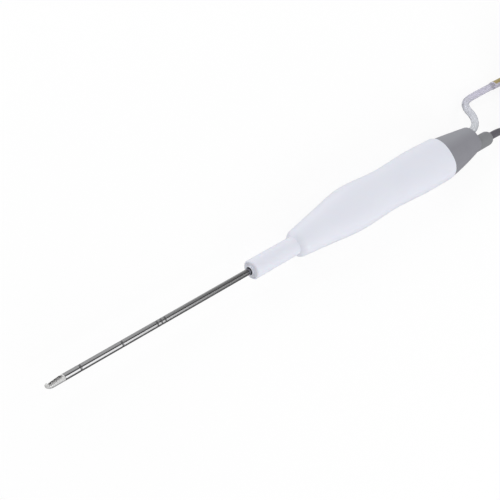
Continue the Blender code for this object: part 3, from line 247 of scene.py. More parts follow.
FLOOR_SHADOW = 0.14
FLOOR_WHITE = 1.022
FLOOR_SIZE, FLOOR_DROP = 8.0, 0.05
floor_paint, floor_tree, floor_shader = new_surface("white_sweep", (0.84, 0.84, 0.84), 0.9)
floor_shader.made.inputs["Specular IOR Level"].default_value = 0.0
floor_rays = floor_tree.node("ShaderNodeLightPath")
floor_y = parts_of(floor_tree, floor_tree.node("ShaderNodeTexCoord").out("Object"))[1]
# Seen in polished metal the near side of the sweep is dark and the far side is grey
glimpse = ((floor_y * 20.0 + 0.5).clamp() * 0.3 + 0.1) * floor_rays.out("Is Glossy Ray")
direct = (floor_rays.out("Is Camera Ray") + floor_rays.out("Is Transmission Ray")).clamp()
share = direct * (1.0 - FLOOR_SHADOW) + floor_rays.out("Is Glossy Ray")
glow = {"Color": (1.0, 1.0, 1.0, 1.0), "Strength": direct * FLOOR_WHITE + glimpse}
white = floor_tree.node("ShaderNodeEmission", None, glow)
whitened = floor_tree.node("ShaderNodeMixShader", None, {0: share.clamp(), 1: floor_shader, 2: white})
floor_end = floor_tree.tree.nodes["Material Output"].inputs[0]
floor_tree.tree.links.new(whitened.out().socket, floor_end)
bpy.ops.mesh.primitive_plane_add(size=FLOOR_SIZE, location=(0.0, 0.0, -FLOOR_DROP * MM))
floor = bpy.context.object
floor.name = "studio_floor"
floor.data.materials.append(floor_paint)

LAMPS = (
    ("lamp_far_side", (-0.2, 1.0, 0.5), 0.9, 6.2),
    ("lamp_near_side", (0.1, -1.0, 0.42), 0.9, 6.3),
    ("lamp_rear", (1.0, -0.1, 0.7), 0.7, 2.2),
)
for lamp_name, lamp_at, lamp_size, power in LAMPS:
    lamp_data = bpy.data.lights.new(lamp_name, "AREA")
    lamp_data.size = lamp_size
    lamp_data.energy = power
    lamp = stand(lamp_name, lamp_data)
    lamp.location = lamp_at
    lamp.rotation_euler = (-Vector(lamp_at)).to_track_quat("-Z", "Y").to_euler()
    lamp.visible_glossy = False


# The power cable: 3 m of dark grey jacketed cable. It leaves the gland, droops to the
# surface and runs out of the picture, where its spare length is folded into a tied hank,
# two turns across and five layers high, before its tail comes over the top to the plug.
CABLE_DIAMETER = 5.5
CABLE_TRACKS = ("out 0", "in 0", "out 1", "in 1", "in 2", "out 2", "out 3", "in 3", "in 4", "out 4")
TRACK_CHANGE = 32.0
CHANGE_LEAD = 7.0
TURN_STEPS = 32
FOLD = 3 * CABLE_DIAMETER
FOLD_REACH = 35.8
CORD_SPACING = 3.0
SURFACE = -MOUTH.z / MM


def spot(node):
    """The two corners of a node in the wand's millimetres."""
    return [(corner - MOUTH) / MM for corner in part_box(node)]


def wand_place(tree, turn=0.0):
    """The surface's place in the wand's millimetres, turned back about the shaft if asked."""
    back = Matrix.Rotation(-turn, 3, "X")
    shift = -(back @ (MOUTH / MM))
    here = tree.node("ShaderNodeTexCoord").out("Object")
    sockets = {"Vector": here, "Location": shift, "Rotation": (-turn, 0.0, 0.0), "Scale": [1 / MM] * 3}
    return tree.node("ShaderNodeMapping", None, sockets).out()


def grain(tree, place, scale, detail=2.0):
    """A soft noise between 0 and 1, scale times to the millimetre."""
    sockets = {"Vector": place, "Scale": scale, "Detail": detail}
    return tree.node("ShaderNodeTexNoise", None, sockets).out(0)


def bumped(tree, height, strength, depth):
    """A bump that is depth millimetres deep."""
    sockets = {"Height": height, "Strength": strength, "Distance": depth * MM}
    return tree.node("ShaderNodeBump", None, sockets).out()


def dress(tree, shader, tone, noise, rough, bump=None):
    """Feeds a shader its tone, and a roughness (gain, base) and a bump that follow a noise."""
    feed(tree, shader, Base_Color=tone, Roughness=noise * rough[0] + rough[1])
    if bump:
        feed(tree, shader, Normal=bumped(tree, noise, *bump))


def smooth_route(points, spacing):
    """Evenly spaced points on a smooth curve through the route's own points."""
    points = [Vector(point) for point in points]
    ends = [2 * points[0] - points[1], *points, 2 * points[-1] - points[-2]]
    dense = []
    for a, b, c, d in zip(ends, ends[1:], ends[2:], ends[3:]):
        for step in range(24):
            t = step / 24
            bend = (2 * a - 5 * b + 4 * c - d) * t**2 + (3 * b - a - 3 * c + d) * t**3
            dense.append(0.5 * (2 * b + (c - a) * t + bend))
    dense.append(points[-1])
    runs = [(q - p).length for p, q in zip(dense, dense[1:])]
    count = max(2, round(sum(runs) / spacing))
    chosen, travelled, pitch = [dense[0]], 0.0, sum(runs) / count
    for p, q, run in zip(dense, dense[1:], runs):
        while travelled + run >= pitch * len(chosen) - 1e-9 and len(chosen) < count:
            chosen.append(p.lerp(q, (pitch * len(chosen) - travelled) / run))
        travelled += run
    return [*chosen, dense[-1]]


def hank_turns(node, diameter, tracks, side, leave_x):
    """The middle line of a hank's turns. It starts on the run that the cord comes in on and
    moves to its next track, over TRACK_CHANGE, near the end of the run back, each time
    earlier by CHANGE_LEAD. It ends on the last track at leave_x."""
    low, high = spot(node)
    outer = (high.y - low.y - diameter) / 2
    left = low.x + outer + diameter / 2
    right = high.x - outer - diameter / 2
    run = right - left
    round_length = 2 * run + 2 * math.pi * (outer - diameter / 2)
    share = run / round_length
    change, creep = TRACK_CHANGE / round_length, CHANGE_LEAD / round_length
    places = []
    for track in tracks:
        column, layer = track.split()
        radius = outer if column == "out" else outer - diameter
        places.append(Vector((radius, low.z + diameter * (0.5 + int(layer)))))
    points = []
    last = len(tracks) - 1 + share * (leave_x - left) / run
    for step in range(int(last * TURN_STEPS) + 2):
        turn = min(step / TURN_STEPS, last)
        track = places[0].copy()
        for k in range(1, len(places)):
            middle = (k - 1) + 0.5 + share - change / 2 - (k - 1) * creep
            t = min(max((turn - middle) / change + 0.5, 0.0), 1.0)
            track += (places[k] - places[k - 1]) * (t * t * (3 - 2 * t))
        half = turn % 0.5
        flip = 1 if turn % 1.0 < 0.5 else -1
        if half < share:
            x, y = run * (half / share - 0.5), -track.x
        else:
            angle = math.pi * ((half - share) / (0.5 - share) - 0.5)
            x, y = run / 2 + track.x * math.cos(angle), track.x * math.sin(angle)
        points.append(((left + right) / 2 + flip * x, (low.y + high.y) / 2 + side * flip * y, track.y))
    return points


def cord_curve(name, points, diameter, material):
    """A cord as a round curve along its middle line, given in the wand's millimetres."""
    curve = bpy.data.curves.new(name, "CURVE")
    curve.dimensions = "3D"
    curve.bevel_depth = diameter / 2 * MM
    curve.bevel_resolution = 6
    curve.use_fill_caps = True
    spline = curve.splines.new("POLY")
    spline.points.add(len(points) - 1)
    for point, place in zip(spline.points, points):
        point.co = (*wand(*place), 1.0)
    spline.use_smooth = True
    curve.materials.append(material)
    return stand(name, curve)


cable_jacket, jacket_tree, jacket_shader = new_surface("cable_jacket", (0.125, 0.12, 0.137), 0.45)
jacket_place = wand_place(jacket_tree)
jacket_grain = grain(jacket_tree, jacket_place, 1.4, 4.0)
jacket_scuffs = grain(jacket_tree, jacket_place, 0.12, 3.0)
jacket_tone = mixed(jacket_tree, jacket_scuffs, (0.112, 0.108, 0.124), (0.138, 0.132, 0.15))
dress(jacket_tree, jacket_shader, jacket_tone, jacket_grain, (0.14, 0.38), (0.35, 0.05))

gland_low, gland_high = spot("cable_gland")
gland_y = (gland_low.y + gland_high.y) / 2
lying = SURFACE + CABLE_DIAMETER / 2
cable_way = (
    *((-2.7, 0.0, 0.0), (0.3, 0.0, 0.0), (4.0, 0.0, -0.1), (10.0, -0.1, -1.2), (17.0, -0.3, -3.9)),
    *((24.0, -0.7, -7.0), (31.0, -1.7, lying + 0.8), (38.0, -3.8, lying), (45.0, -7.0, lying)),
    *((52.0, -10.4, lying), (56.0, -12.3, lying)),
)
cable_line = [(gland_high.x + x, gland_y + y, z) for x, y, z in cable_way]

# The last turn climbs past the tie, folds over the hank's end and comes back to the plug
hank_low, hank_high = spot("cable_hank")
relief_low, relief_high = spot("plug_relief")
relief_y = (relief_low.y + relief_high.y) / 2
relief_z = (relief_low.z + relief_high.z) / 2
near_run = hank_low.y + CABLE_DIAMETER / 2
tail_top = hank_high.z + 0.3 + CABLE_DIAMETER / 2
fold_x = relief_high.x + FOLD_REACH
climb = [(fold_x - 18.0, near_run, tail_top - 3.4), (fold_x - 8.0, near_run, tail_top - 0.9)]
fold_over = []
for degrees in range(-90, 111, 25):
    angle = math.radians(degrees)
    fold_over.append((fold_x + FOLD * math.cos(angle), near_run + FOLD * (1 + math.sin(angle)), tail_top))
cable_tail = (
    (26.0, 8.2, tail_top),
    (19.0, 5.0, tail_top + 0.3),
    (10.0, 1.6, (tail_top + relief_z) / 2),
    (3.0, 0.2, relief_z - 0.2),
    (-1.7, 0.0, relief_z),
)
tail_line = [(relief_high.x + x, relief_y + y, z) for x, y, z in cable_tail]
cable_turns = hank_turns("cable_hank", CABLE_DIAMETER, CABLE_TRACKS, 1, relief_high.x)
cable_points = smooth_route([*cable_line, *cable_turns, *climb, *fold_over, *tail_line], CORD_SPACING)
power_cable = cord_curve("supply_cable", cable_points, CABLE_DIAMETER, cable_jacket)
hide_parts("power_cable", "cable_hank", "cable_tail")
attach(power_cable, "root")


# The suction tube: 3 m of clear soft tube. It leaves the boot above the cable, swings out
# in an S to lie on the surface, and runs past the cable's hank to a hank of its own, which
# it leaves at the bottom to lie along the side as far as its connector.
TUBE_DIAMETER = 5.3
TINT_START, TINT_OVER = 232.0, 25.0
TUBE_TRACKS = ("out 0", "in 0", "in 1", "in 2", "in 3", "in 4", "out 4", "out 3", "out 2", "out 1")

clear_tube, clear_tree, clear_shader = new_surface(
    "clear_tube", (0.62, 0.61, 0.72), 0.16, Transmission_Weight=0.45, IOR=1.3
)
tube_map = clear_tree.node("ShaderNodeTexCoord").out("UV")
drawn = clear_tree.node("ShaderNodeMapping", None, {"Vector": tube_map, "Scale": (60.0, 9.0, 1.0)}).out()
tube_streaks = grain(clear_tree, drawn, 1.0, 3.0)
tube_place = wand_place(clear_tree)
tube_haze = grain(clear_tree, tube_place, 0.5, 3.0)
beyond = ((parts_of(clear_tree, tube_place)[0] - TINT_START) / TINT_OVER).clamp()
tube_tint = mixed(clear_tree, beyond, (0.64, 0.67, 0.69), (0.6, 0.58, 0.7))
tube_tone = mixed(clear_tree, tube_streaks * 0.7, tube_tint, (0.78, 0.78, 0.83))
feed(
    clear_tree,
    clear_shader,
    Base_Color=tube_tone,
    Roughness=tube_haze * 0.16 + 0.16,
    Normal=bumped(clear_tree, tube_streaks, 0.1, 0.05),
)

boot_end = spot("rear_boot")[1].x
outlet_y = 7.6
tube_lying = SURFACE + TUBE_DIAMETER / 2
collar_low, collar_high = spot("tube_collar")
collar_y = (collar_low.y + collar_high.y) / 2
collar_z = (collar_low.z + collar_high.z) / 2
collar_x = collar_low.x - boot_end
collar_length = collar_high.x - collar_low.x
tube_low, tube_high = spot("tube_hank")
far_run = tube_high.y - TUBE_DIAMETER / 2
tube_way = (
    (-0.7, outlet_y, 0.0),
    (0.8, outlet_y, 0.0),
    (6.0, outlet_y + 0.3, -0.15),
    (11.2, 9.1, -0.7),
    (15.6, 11.4, -1.5),
    (18.8, 14.9, -2.6),
    (20.3, 19.0, -4.0),
    (21.0, 22.8, -5.6),
    (23.0, 26.2, -7.2),
    (26.8, 28.6, -8.6),
    (32.0, 29.8, tube_lying + 0.8),
    (39.0, 30.3, tube_lying + 0.2),
    (50.0, 30.5, tube_lying + 0.1),
    (collar_x, collar_y, collar_z),
    (collar_x + collar_length, collar_y, collar_z),
    (collar_x + 2.6 * collar_length, far_run, tube_lying),
)
tube_line = [(boot_end + x, y, z) for x, y, z in tube_way]
hank_entry = tube_low.x + 0.36 * (tube_high.y - tube_low.y) / 2
for share in (0.33, 0.66, 1.0):
    x = tube_line[15][0] + share * (hank_entry - tube_line[15][0])
    tube_line.append((x, far_run, tube_lying))

# The last turn swings out round the hank's end and comes down to the surface beside it
connector_low, connector_high = spot("suction_connector")
connector_y = (connector_low.y + connector_high.y) / 2
connector_z = (connector_low.z + connector_high.z) / 2
middle_y = (tube_low.y + tube_high.y) / 2
hank_side = tube_low.y - 0.3 - TUBE_DIAMETER / 2
end_x = tube_high.x - (tube_high.y - tube_low.y) / 2
leaving = []
step_down = ((65, 0.3, 6.2), (40, 1.2, 6.2), (15, 2.6, 6.1), (-10, 4.0, 5.3))
step_down += ((-35, 5.0, 3.8), (-60, 5.5, 2.1), (-85, 5.7, 0.8))
for degrees, outwards, above in step_down:
    angle = math.radians(degrees)
    wide = far_run - middle_y + outwards
    leaving.append((end_x + wide * math.cos(angle), middle_y + wide * math.sin(angle), tube_lying + above))
reach = hank_side - connector_y
tube_tail = (
    (38.0, 1.0, tube_lying),
    (26.0, 0.6, tube_lying + 0.2),
    (14.0, 0.1, connector_z - 2.2),
    (3.0, 0.0, connector_z - 0.2),
    (-5.7, 0.0, connector_z),
)
tail_line = [(connector_high.x + x, connector_y + share * reach, z) for x, share, z in tube_tail]
tube_turns = hank_turns("tube_hank", TUBE_DIAMETER, TUBE_TRACKS, -1, end_x)
tube_points = smooth_route([*tube_line, *tube_turns, *leaving, *tail_line], CORD_SPACING)
suction_tube = cord_curve("suction_line", tube_points, TUBE_DIAMETER, clear_tube)
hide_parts("suction_tube", "tube_hank", "tube_tail")
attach(suction_tube, "root")


# The collar: a short clear sleeve with an amber stripe along its upper side, slipped on the
# suction tube. It is turned, like every round piece here: a row of ovals along the wand.
COLLAR_EDGE = 0.15


def new_shape_tree(name, inputs, output):
    """A Geometry Nodes tree with named inputs and one output, and the node that gives them."""
    group = bpy.data.node_groups.new(name, "GeometryNodeTree")
    for label, kind in inputs.items():
        group.interface.new_socket(name=label, in_out="INPUT", socket_type="NodeSocket" + kind)
    group.interface.new_socket(name=output, in_out="OUTPUT", socket_type="NodeSocketGeometry")
    tree = Tree(group)
    return tree, tree.node("NodeGroupInput")


def end_shape_tree(tree, given, shape, output):
    """Ends such a tree: the shape is made real, gets its material and goes out."""
    real = tree.node("GeometryNodeRealizeInstances", None, {"Geometry": shape}).out()
    sockets = {"Geometry": real, "Material": given.out("Material")}
    tree.node("NodeGroupOutput", None, {output: tree.node("GeometryNodeSetMaterial", None, sockets)})
    return tree.tree


def oval_tree():
    """The tree that stretches ovals over stations: each station says how far its oval goes
    above, below and beside the line, how squared it is and how far it is raised."""
    inputs = {"Stations": "Geometry", "From Angle": "Float", "To Angle": "Float"}
    inputs.update({"Around": "Int", "Split Gap": "Float", "Material": "Material"})
    tree, given = new_shape_tree("ovals_on_stations", inputs, "Body")
    stations = given.out("Stations")
    around = given.out("Around")
    count = tree.node("GeometryNodeAttributeDomainSize", None, {"Geometry": stations}).out("Point Count")
    columns = around + 1.0
    sheet = tree.node("GeometryNodeMeshGrid", None, {"Vertices X": count, "Vertices Y": columns}).out("Mesh")
    index = tree.node("GeometryNodeInputIndex").out()
    row = ((index + 0.5) / columns).maths("FLOOR")
    angle_share = (index - row * columns) / around
    angle = given.out("From Angle") + (given.out("To Angle") - given.out("From Angle")) * angle_share

    def read(value, kind="FLOAT"):
        sockets = {"Geometry": stations, "Value": value, "Index": row}
        return tree.node("GeometryNodeSampleIndex", {"data_type": kind}, sockets).out()

    def station(name):
        named = tree.node("GeometryNodeInputNamedAttribute", {"data_type": "FLOAT"}, {"Name": name})
        return read(named.out("Attribute"))

    place = tree.node("GeometryNodeInputPosition").out()
    x = parts_of(tree, read(place, "FLOAT_VECTOR"))[0]
    cosine, sine = angle.maths("COSINE"), angle.maths("SINE")
    power = 2.0 / station("square")
    upper = cosine > 0.0
    reach = station("above") * upper + station("below") * (1.0 - upper)
    y = cosine.maths("ABSOLUTE") ** power * cosine.maths("SIGN") * reach + station("rise")
    z = sine.maths("ABSOLUTE") ** power * sine.maths("SIGN") * station("beside")
    half = tree.node("ShaderNodeMath", {"operation": "SIGN"}, {0: given.out("Split Gap")}).out()
    z = z * (1.0 - half.maths("ABSOLUTE")) + (z * half).maths("MAXIMUM", given.out("Split Gap") * half) * half
    spread = tree.node("ShaderNodeCombineXYZ", None, {"X": x, "Y": y, "Z": z}).out()
    body = tree.node("GeometryNodeSetPosition", None, {"Geometry": sheet, "Position": spread}).out()
    body = tree.node("GeometryNodeMergeByDistance", None, {"Geometry": body, "Distance": 1e-6}).out()
    return end_shape_tree(tree, given, body, "Body")


OVALS = oval_tree()


def plain_mesh(item):
    """The shape that a piece has after its modifiers, as a plain mesh."""
    return bpy.data.meshes.new_from_object(item.evaluated_get(bpy.context.evaluated_depsgraph_get()))


def made_by(group, name, base, values, centre=(0.0, 0.0, 0.0)):
    """The result of a node group on a base mesh, as a plain mesh at its place on the wand."""
    item = stand(name, base)
    modifier = item.modifiers.new("shape", "NODES")
    modifier.node_group = group
    names = {socket.name: socket.identifier for socket in group.interface.items_tree}
    for key, value in values.items():
        modifier[names[key]] = value
    mesh = plain_mesh(item)
    item.modifiers.remove(modifier)
    item.data = mesh
    mesh.transform(Matrix.Translation(wand(*centre)))
    return item


def finish_mesh(item, sharp=35.0, material=None):
    """Closes a mesh's seams and open ends, turns its faces outwards and smooths it."""
    work = bmesh.new()
    work.from_mesh(item.data)
    bmesh.ops.remove_doubles(work, verts=work.verts, dist=1e-7)
    open_edges = [edge for edge in work.edges if edge.is_boundary]
    if open_edges:
        bmesh.ops.holes_fill(work, edges=open_edges, sides=0)
    bmesh.ops.recalc_face_normals(work, faces=work.faces)
    for face in work.faces:
        face.smooth = True
    work.to_mesh(item.data)
    work.free()
    item.data.set_sharp_from_angle(angle=math.radians(sharp))
    if material:
        item.data.materials.clear()
        item.data.materials.append(material)
    return item


def ovals(name, stations, material, centre=(0.0, 0.0, 0.0), around=64, half=0, gap=0.0):
    """A body stretched over stations (x, above, below, beside, squareness, rise) in the
    wand's millimetres. half is 1 or -1 for the half on one side of a split."""
    base = bpy.data.meshes.new(name)
    base.from_pydata([(station[0] * MM, 0.0, 0.0) for station in stations], [], [])
    for column, label in enumerate(("above", "below", "beside", "square", "rise"), 1):
        scale = 1.0 if label == "square" else MM
        layer = base.attributes.new(label, "FLOAT", "POINT")
        layer.data.foreach_set("value", [station[column] * scale for station in stations])
    first = math.pi if half < 0 else 0.0
    values = {
        "From Angle": first,
        "To Angle": first + (math.pi if half else 2 * math.pi),
        "Around": around,
        "Split Gap": half * gap * MM,
        "Material": material,
    }
    return finish_mesh(made_by(OVALS, name, base, values, centre))


def softened(profile, size):
    """A closed profile (x, radius) with each of its corners rounded a little."""
    points = [Vector(point) for point in profile]
    result = []
    for before, corner, after in zip([points[-1], *points], points, [*points[1:], points[0]]):
        reach = min(size, (before - corner).length * 0.4, (after - corner).length * 0.4)
        start = corner + (before - corner).normalized() * reach
        end = corner + (after - corner).normalized() * reach
        for t in (0.0, 0.33, 0.67, 1.0):
            result.append((1 - t) ** 2 * start + 2 * t * (1 - t) * corner + t * t * end)
    return [*result, result[0]]


def turned(name, profile, material, centre=(0.0, 0.0, 0.0), edge=0.0, around=64):
    """A turned piece from its profile (x, radius). With an edge size the profile is closed."""
    profile = softened(profile, edge) if edge else profile
    stations = [(x, r, r, r, 2.0, 0.0) for x, r in profile]
    return ovals(name, stations, material, centre, around)


amber, amber_tree, amber_shader = new_surface(
    "amber_plastic", (0.5, 0.42, 0.2), 0.25, Transmission_Weight=0.3, IOR=1.4
)
amber_place = wand_place(amber_tree)
amber_x, amber_y = parts_of(amber_tree, amber_place)[:2]
amber_grain = grain(amber_tree, amber_place, 1.2, 3.0)
amber_stripe = ((amber_y - collar_y + 0.4) * 1.6).clamp()
amber_start = ((amber_x - collar_low.x - 1.0) * 0.9).clamp()
amber_ring = mixed(amber_tree, amber_grain, (0.5, 0.4, 0.17), (0.6, 0.5, 0.26))
amber_tone = mixed(amber_tree, amber_stripe * amber_start, (0.78, 0.75, 0.86), amber_ring)
feed(amber_tree, amber_shader, Base_Color=amber_tone, Normal=bumped(amber_tree, amber_grain, 0.3, 0.05))

collar_outer = TUBE_DIAMETER / 2 + 0.35
collar_inner = TUBE_DIAMETER / 2 + 0.05
collar_profile = (
    (collar_low.x, collar_inner),
    (collar_low.x, collar_outer),
    (collar_high.x, collar_outer),
    (collar_high.x, collar_inner),
)
collar = turned("tube_sleeve", collar_profile, amber, (0.0, collar_y, collar_z), COLLAR_EDGE)
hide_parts("tube_collar")
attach(collar, "root")


# The shaft: a thin drawn steel tube, polished lengthwise, with shallow darkened rings that
# show how deep it is in. One ring, one ring and then three, 24.9 mm apart from the tip.
SHAFT_RADIUS = (SHAFT_HIGH.z - SHAFT_LOW.z) / 2 / MM
SHAFT_BORE = SHAFT_RADIUS - 0.25
RINGS = (-114.4, -89.5, -67.2, -64.6, -62.0)
RING_HALF = 0.55
RING_DEPTH = 0.06
MOUTH_DARKER_START, MOUTH_DARKER_OVER, MOUTH_DARKER_SHARE = -4.2, 1.6, 0.8

drawn_steel, steel_tree, steel_shader = new_surface("drawn_steel", (0.8, 0.8, 0.81), 0.2, Metallic=1.0)
steel_place = wand_place(steel_tree)
steel_x = parts_of(steel_tree, steel_place)[0]
lines_place = steel_tree.node("ShaderNodeMapping", None, {"Vector": steel_place, "Scale": (0.06, 9.0, 9.0)})
steel_lines = grain(steel_tree, lines_place.out(), 1.0, 4.0)
ringed = sum((steel_x - ring).maths("ABSOLUTE") < RING_HALF for ring in RINGS)
steel_tone = mixed(steel_tree, steel_lines, (0.72, 0.72, 0.73), (0.88, 0.88, 0.89))
marked_tone = mixed(steel_tree, ringed * 0.5, steel_tone, (0.1, 0.1, 0.11))
# The last of it, which mirrors the pale mouth, is painted darker towards the mouth
at_mouth = ((steel_x - MOUTH_DARKER_START) / MOUTH_DARKER_OVER).clamp()
marked_tone = mixed(steel_tree, at_mouth * MOUTH_DARKER_SHARE, marked_tone, (0.2, 0.2, 0.22))
feed(
    steel_tree,
    steel_shader,
    Base_Color=marked_tone,
    Roughness=steel_lines * 0.16 + 0.12 + ringed * 0.2,
    Normal=bumped(steel_tree, steel_lines, 0.2, 0.012),
)

shaft_front = (SHAFT_LOW.x - MOUTH.x) / MM
shaft_rear = (SHAFT_HIGH.x - MOUTH.x) / MM
shaft_profile = [(shaft_front, SHAFT_BORE), (shaft_front, SHAFT_RADIUS - 0.05)]
shaft_profile += [(shaft_front + 0.05, SHAFT_RADIUS), (shaft_front + 0.15, SHAFT_RADIUS)]
# The plain loops at 0.75 mm keep the shading straight between the rings
ring_steps = ((-0.75, 0.0), (-0.62, 0.0), (-0.5, RING_DEPTH), (0.5, RING_DEPTH), (0.62, 0.0), (0.75, 0.0))
for ring in RINGS:
    for x, depth in ring_steps:
        shaft_profile.append((ring + x, SHAFT_RADIUS - depth))
shaft_profile += [(shaft_rear, SHAFT_RADIUS), (shaft_rear, SHAFT_BORE), (shaft_front, SHAFT_BORE)]
shaft = turned("working_shaft", shaft_profile, drawn_steel, around=72)
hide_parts("shaft_tube")
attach(shaft, "root")


# The tip: a sintered ceramic head, pressed and ground. Its spigot is bonded in the steel
# tube, its blunt nose rises a little, and a sloped seat carries the metal screen over a
# pocket that leads to the suction passage. The seat is turned 30 degrees about the shaft.
TIP_TURN = math.radians(30.0)
TIP_LENGTH = 10.2
TIP_NOSE = 3.6
TIP_RISE = 0.55
TIP_BLUNT = 0.26
TIP_BASE = shaft_front - 0.2
SEAT_START = TIP_BASE - 0.7
SEAT_LENGTH = 8.0
SEAT_HIGH, SEAT_LOW = 1.02, 0.05
SEAT_SLOPE = math.atan2(SEAT_HIGH - SEAT_LOW, SEAT_LENGTH)
POCKET_SIZE = (5.28, 1.4, 1.3)
POCKET_SHARE = 0.41
# Where the pocket's painted shade reaches: front and rear along the wand, how low, how far to each side
POCKET_SHADE_FRONT, POCKET_SHADE_REAR = SEAT_START - 7.3, SEAT_START - 0.4
POCKET_SHADE_FLOOR, POCKET_SHADE_HALF = -0.95, 1.0
SEAT_CUT = (8.06, 3.75, 7.5)
SPIGOT_LENGTH = 4.0
PASSAGE_LENGTH, PASSAGE_RADIUS = 10.3, 0.5
WIRE_DROP = 1.2
WIRE_REACH = 4.3
WIRE_HOLE = 0.35
LEG_HOLE_LENGTH, LEG_HOLE_RADIUS = 3.1, 0.4
SCREEN_LENGTH = 7.6
LEG_FORWARD = SCREEN_LENGTH / 2 - 0.75


def seat_point(share, above=0.0):
    """A point on the tip's seat, from its rear edge (0) to its front edge (1)."""
    tilt = Matrix.Rotation(SEAT_SLOPE, 3, "Z")
    foot = Vector((SEAT_START - share * SEAT_LENGTH, SEAT_HIGH + share * (SEAT_LOW - SEAT_HIGH), 0.0))
    return foot + tilt @ Vector((0.0, above, 0.0))


def set_on_wand(item, place=Matrix.Identity(4)):
    """Moves a mesh that was made in millimetres to its place on the wand."""
    item.data.transform(Matrix.Translation(MOUTH) @ Matrix.Scale(MM, 4) @ place)
    item.data.update()
    return item


def in_millimetres(item):
    """Takes a piece that stands on the wand back to millimetres, to be cut."""
    item.data.transform(Matrix.Scale(1 / MM, 4) @ Matrix.Translation(-MOUTH))
    return item


def from_work(name, work):
    """A new piece from a mesh that was worked on, which is then let go."""
    mesh = bpy.data.meshes.new(name)
    work.to_mesh(mesh)
    work.free()
    return stand(name, mesh)


def bar(name, size, middle, slope=0.0, radius=0.0):
    """A box, or a rod along x or y where a radius is given, in millimetres."""
    work = bmesh.new()
    if radius:
        lie = Matrix.Rotation(math.pi / 2, 4, "Y" if size[0] else "X")
        deep = max(size)
        bmesh.ops.create_cone(
            work, cap_ends=True, segments=24, radius1=radius, radius2=radius, depth=deep, matrix=lie
        )
    else:
        bmesh.ops.create_cube(work, size=1.0, matrix=Matrix.Diagonal((*size, 1.0)))
    item = from_work(name, work)
    item.data.transform(Matrix.Translation(middle) @ Matrix.Rotation(slope, 4, "Z"))
    return item


def cut(item, tools, operation="DIFFERENCE"):
    """Cuts tools out of a piece, or joins them to it, and removes them."""
    for tool in tools:
        step = item.modifiers.new("cut", "BOOLEAN")
        step.operation = operation
        step.solver = "EXACT"
        step.object = tool
    mesh = plain_mesh(item)
    item.modifiers.clear()
    item.data = mesh
    for tool in tools:
        bpy.data.objects.remove(tool)
    return finish_mesh(item)


ceramic, ceramic_tree, ceramic_shader = new_surface("sintered_ceramic", (0.6, 0.6, 0.585), 0.25)
tip_place = wand_place(ceramic_tree, TIP_TURN)
tip_x, tip_y, tip_z = parts_of(ceramic_tree, tip_place)
# Painted shade: the pocket and the seat under the screen are painted near black, as they lie in shade
seat_here = (tip_x - SEAT_START) * math.tan(SEAT_SLOPE) + SEAT_HIGH
pocket_painted_shade = (tip_y < seat_here + 0.05) * (tip_y > POCKET_SHADE_FLOOR) * (tip_z.maths("ABSOLUTE") < POCKET_SHADE_HALF)
pocket_painted_shade = pocket_painted_shade * (tip_x > POCKET_SHADE_FRONT) * (tip_x < POCKET_SHADE_REAR)
ceramic_grain = grain(ceramic_tree, tip_place, 6.0, 3.0)
ceramic_cloud = grain(ceramic_tree, tip_place, 0.8, 2.0)
fired_tone = mixed(ceramic_tree, ceramic_cloud, (0.56, 0.56, 0.56), (0.7, 0.7, 0.69))
# Painted shade: the head is painted darker along its lower side, towards -y, where it is shaded
near_side = parts_of(ceramic_tree, wand_place(ceramic_tree))[1]
underside_painted_shade = ((near_side * -1.0 - 1.0) * 1.6).clamp()
ceramic_tone = mixed(ceramic_tree, underside_painted_shade * 0.7, fired_tone, (0.16, 0.16, 0.17))
shown_tone = mixed(ceramic_tree, pocket_painted_shade, ceramic_tone, (0.02, 0.018, 0.016))
dress(ceramic_tree, ceramic_shader, shown_tone, ceramic_grain, (0.16, 0.16), (0.3, 0.02))

barrel = TIP_LENGTH - TIP_NOSE
tip_stations = [(TIP_BASE, SHAFT_RADIUS - 0.08, 0.0), (TIP_BASE - 0.08, SHAFT_RADIUS, 0.0)]
tip_stations.append((TIP_BASE - barrel, SHAFT_RADIUS, 0.0))
for step in range(1, 17):
    angle = math.pi / 2 * step / 16
    radius = SHAFT_RADIUS * (TIP_BLUNT + (1 - TIP_BLUNT) * math.cos(angle))
    forward = math.sin(angle)
    tip_stations.append((TIP_BASE - barrel - forward * TIP_NOSE, radius, TIP_RISE * forward**2))
end_x_of_tip, end_radius, end_rise = tip_stations[-1]
tip_stations.append((end_x_of_tip - 0.06, end_radius - 0.12, end_rise))
tip_stations.append((end_x_of_tip - 0.08, 0.0, end_rise))
spigot_radius = SHAFT_BORE - 0.2
tip_stations = [
    (TIP_BASE + SPIGOT_LENGTH, 0.0, 0.0),
    (TIP_BASE + SPIGOT_LENGTH, spigot_radius, 0.0),
    (TIP_BASE, spigot_radius, 0.0),
    *tip_stations,
]
rings = [(x, r, r, r, 2.0, rise) for x, r, rise in tip_stations]
tip = in_millimetres(ovals("ceramic_head", rings, ceramic, around=72))
leg_x = seat_point(0.5).x - LEG_FORWARD
wire_end = TIP_BASE + WIRE_REACH
wire_middle = Vector(((wire_end + leg_x) / 2, -WIRE_DROP, 0))
cutting = [
    bar("seat_cut", SEAT_CUT, seat_point(0.5, SEAT_CUT[1] / 2), SEAT_SLOPE),
    bar("pocket_cut", POCKET_SIZE, seat_point(POCKET_SHARE), SEAT_SLOPE),
    bar("passage_cut", (PASSAGE_LENGTH, 0, 0), Vector((TIP_BASE - 0.85, 0, 0)), radius=PASSAGE_RADIUS),
    bar("wire_cut", (wire_end - leg_x, 0, 0), wire_middle, radius=WIRE_HOLE),
    bar("leg_cut", (0, LEG_HOLE_LENGTH, 0), Vector((leg_x, 0.35, 0)), radius=LEG_HOLE_RADIUS),
]
cut(tip, cutting)
set_on_wand(tip, Matrix.Rotation(TIP_TURN, 4, "X"))
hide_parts("tip_insulator")
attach(tip, "root")


